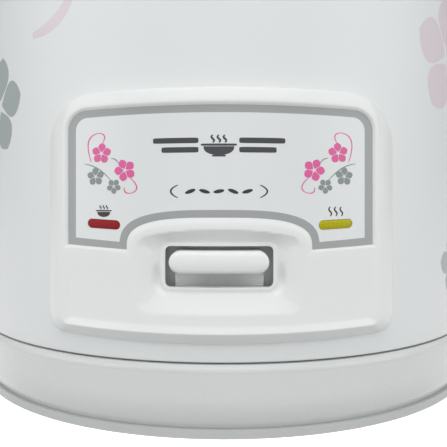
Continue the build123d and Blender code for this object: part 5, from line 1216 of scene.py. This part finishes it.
# Floor and light: a white table and backdrop, a broad lamp above the front, one at each side, one behind
# and a weak one low in front. Floor and backdrop look white, but send less light than they show.
FLOOR_HALF = 3.0
FLOOR_GREY = "#BEBEBE"
FLOOR_GLOW = 0.9
WORLD_LIGHT = 0.38
WORLD_SEEN = 1.0
AIM = Vector((0, 0, 0.09))
LAMPS = {"key": ((0.0, -0.7, 1.0), 1.1, 6.2), "left": ((-1.0, -0.55, 0.45), 0.9, 3.8),
         "right": ((1.0, -0.55, 0.45), 0.9, 3.7), "front": ((0.0, -1.3, 0.15), 0.9, 1.3),
         "back": ((0.0, 1.2, 0.3), 0.9, 4.5)}
floor_mesh = bpy.data.meshes.new("floor")
floor_mesh.from_pydata([(-FLOOR_HALF, -FLOOR_HALF, 0), (FLOOR_HALF, -FLOOR_HALF, 0),
                        (FLOOR_HALF, FLOOR_HALF, 0), (-FLOOR_HALF, FLOOR_HALF, 0)], [], [(0, 1, 2, 3)])
floor = bpy.data.objects.new("floor", floor_mesh)
bpy.context.scene.collection.objects.link(floor)
floor_paper, tree, shader, _ = finish_nodes("Paper backdrop, white")
path = add(tree, "ShaderNodeLightPath")
seen = add(tree, "ShaderNodeMath", {0: path.outputs["Is Camera Ray"], 1: path.outputs["Is Glossy Ray"]},
           operation="MAXIMUM")
seen = add(tree, "ShaderNodeMath", {0: seen.outputs[0], 1: path.outputs["Is Transmission Ray"]},
           operation="MAXIMUM")
glow = add(tree, "ShaderNodeMath", {0: seen.outputs[0], 1: FLOOR_GLOW}, operation="MULTIPLY")
shader.inputs["Base Color"].default_value = linear(FLOOR_GREY)
shader.inputs["Roughness"].default_value = 0.9
shader.inputs["Specular IOR Level"].default_value = 0.1
shader.inputs["Emission Color"].default_value = (1, 1, 1, 1)
tree.links.new(glow.outputs[0], shader.inputs["Emission Strength"])
floor_mesh.materials.append(floor_paper)

for name, (spot, size, power) in LAMPS.items():
    lamp_data = bpy.data.lights.new(name, "AREA")
    lamp_data.size = size
    lamp_data.energy = power
    lamp = bpy.data.objects.new(name, lamp_data)
    lamp.location = spot
    lamp.rotation_euler = (AIM - Vector(spot)).to_track_quat("-Z", "Y").to_euler()
    bpy.context.scene.collection.objects.link(lamp)

world = bpy.data.worlds.new("studio")
world.use_nodes = True
tree = world.node_tree
path = add(tree, "ShaderNodeLightPath")
seen = add(tree, "ShaderNodeMath",
           {0: path.outputs["Is Camera Ray"], 1: path.outputs["Is Transmission Ray"]}, operation="MAXIMUM")
level = add(tree, "ShaderNodeMapRange",
            {"Value": seen.outputs[0], "To Min": WORLD_LIGHT, "To Max": WORLD_SEEN})
backdrop = tree.nodes["Background"]
backdrop.inputs["Color"].default_value = (1, 1, 1, 1)
tree.links.new(level.outputs["Result"], backdrop.inputs["Strength"])
bpy.context.scene.world = world
bpy.context.scene.view_settings.view_transform = "Standard"
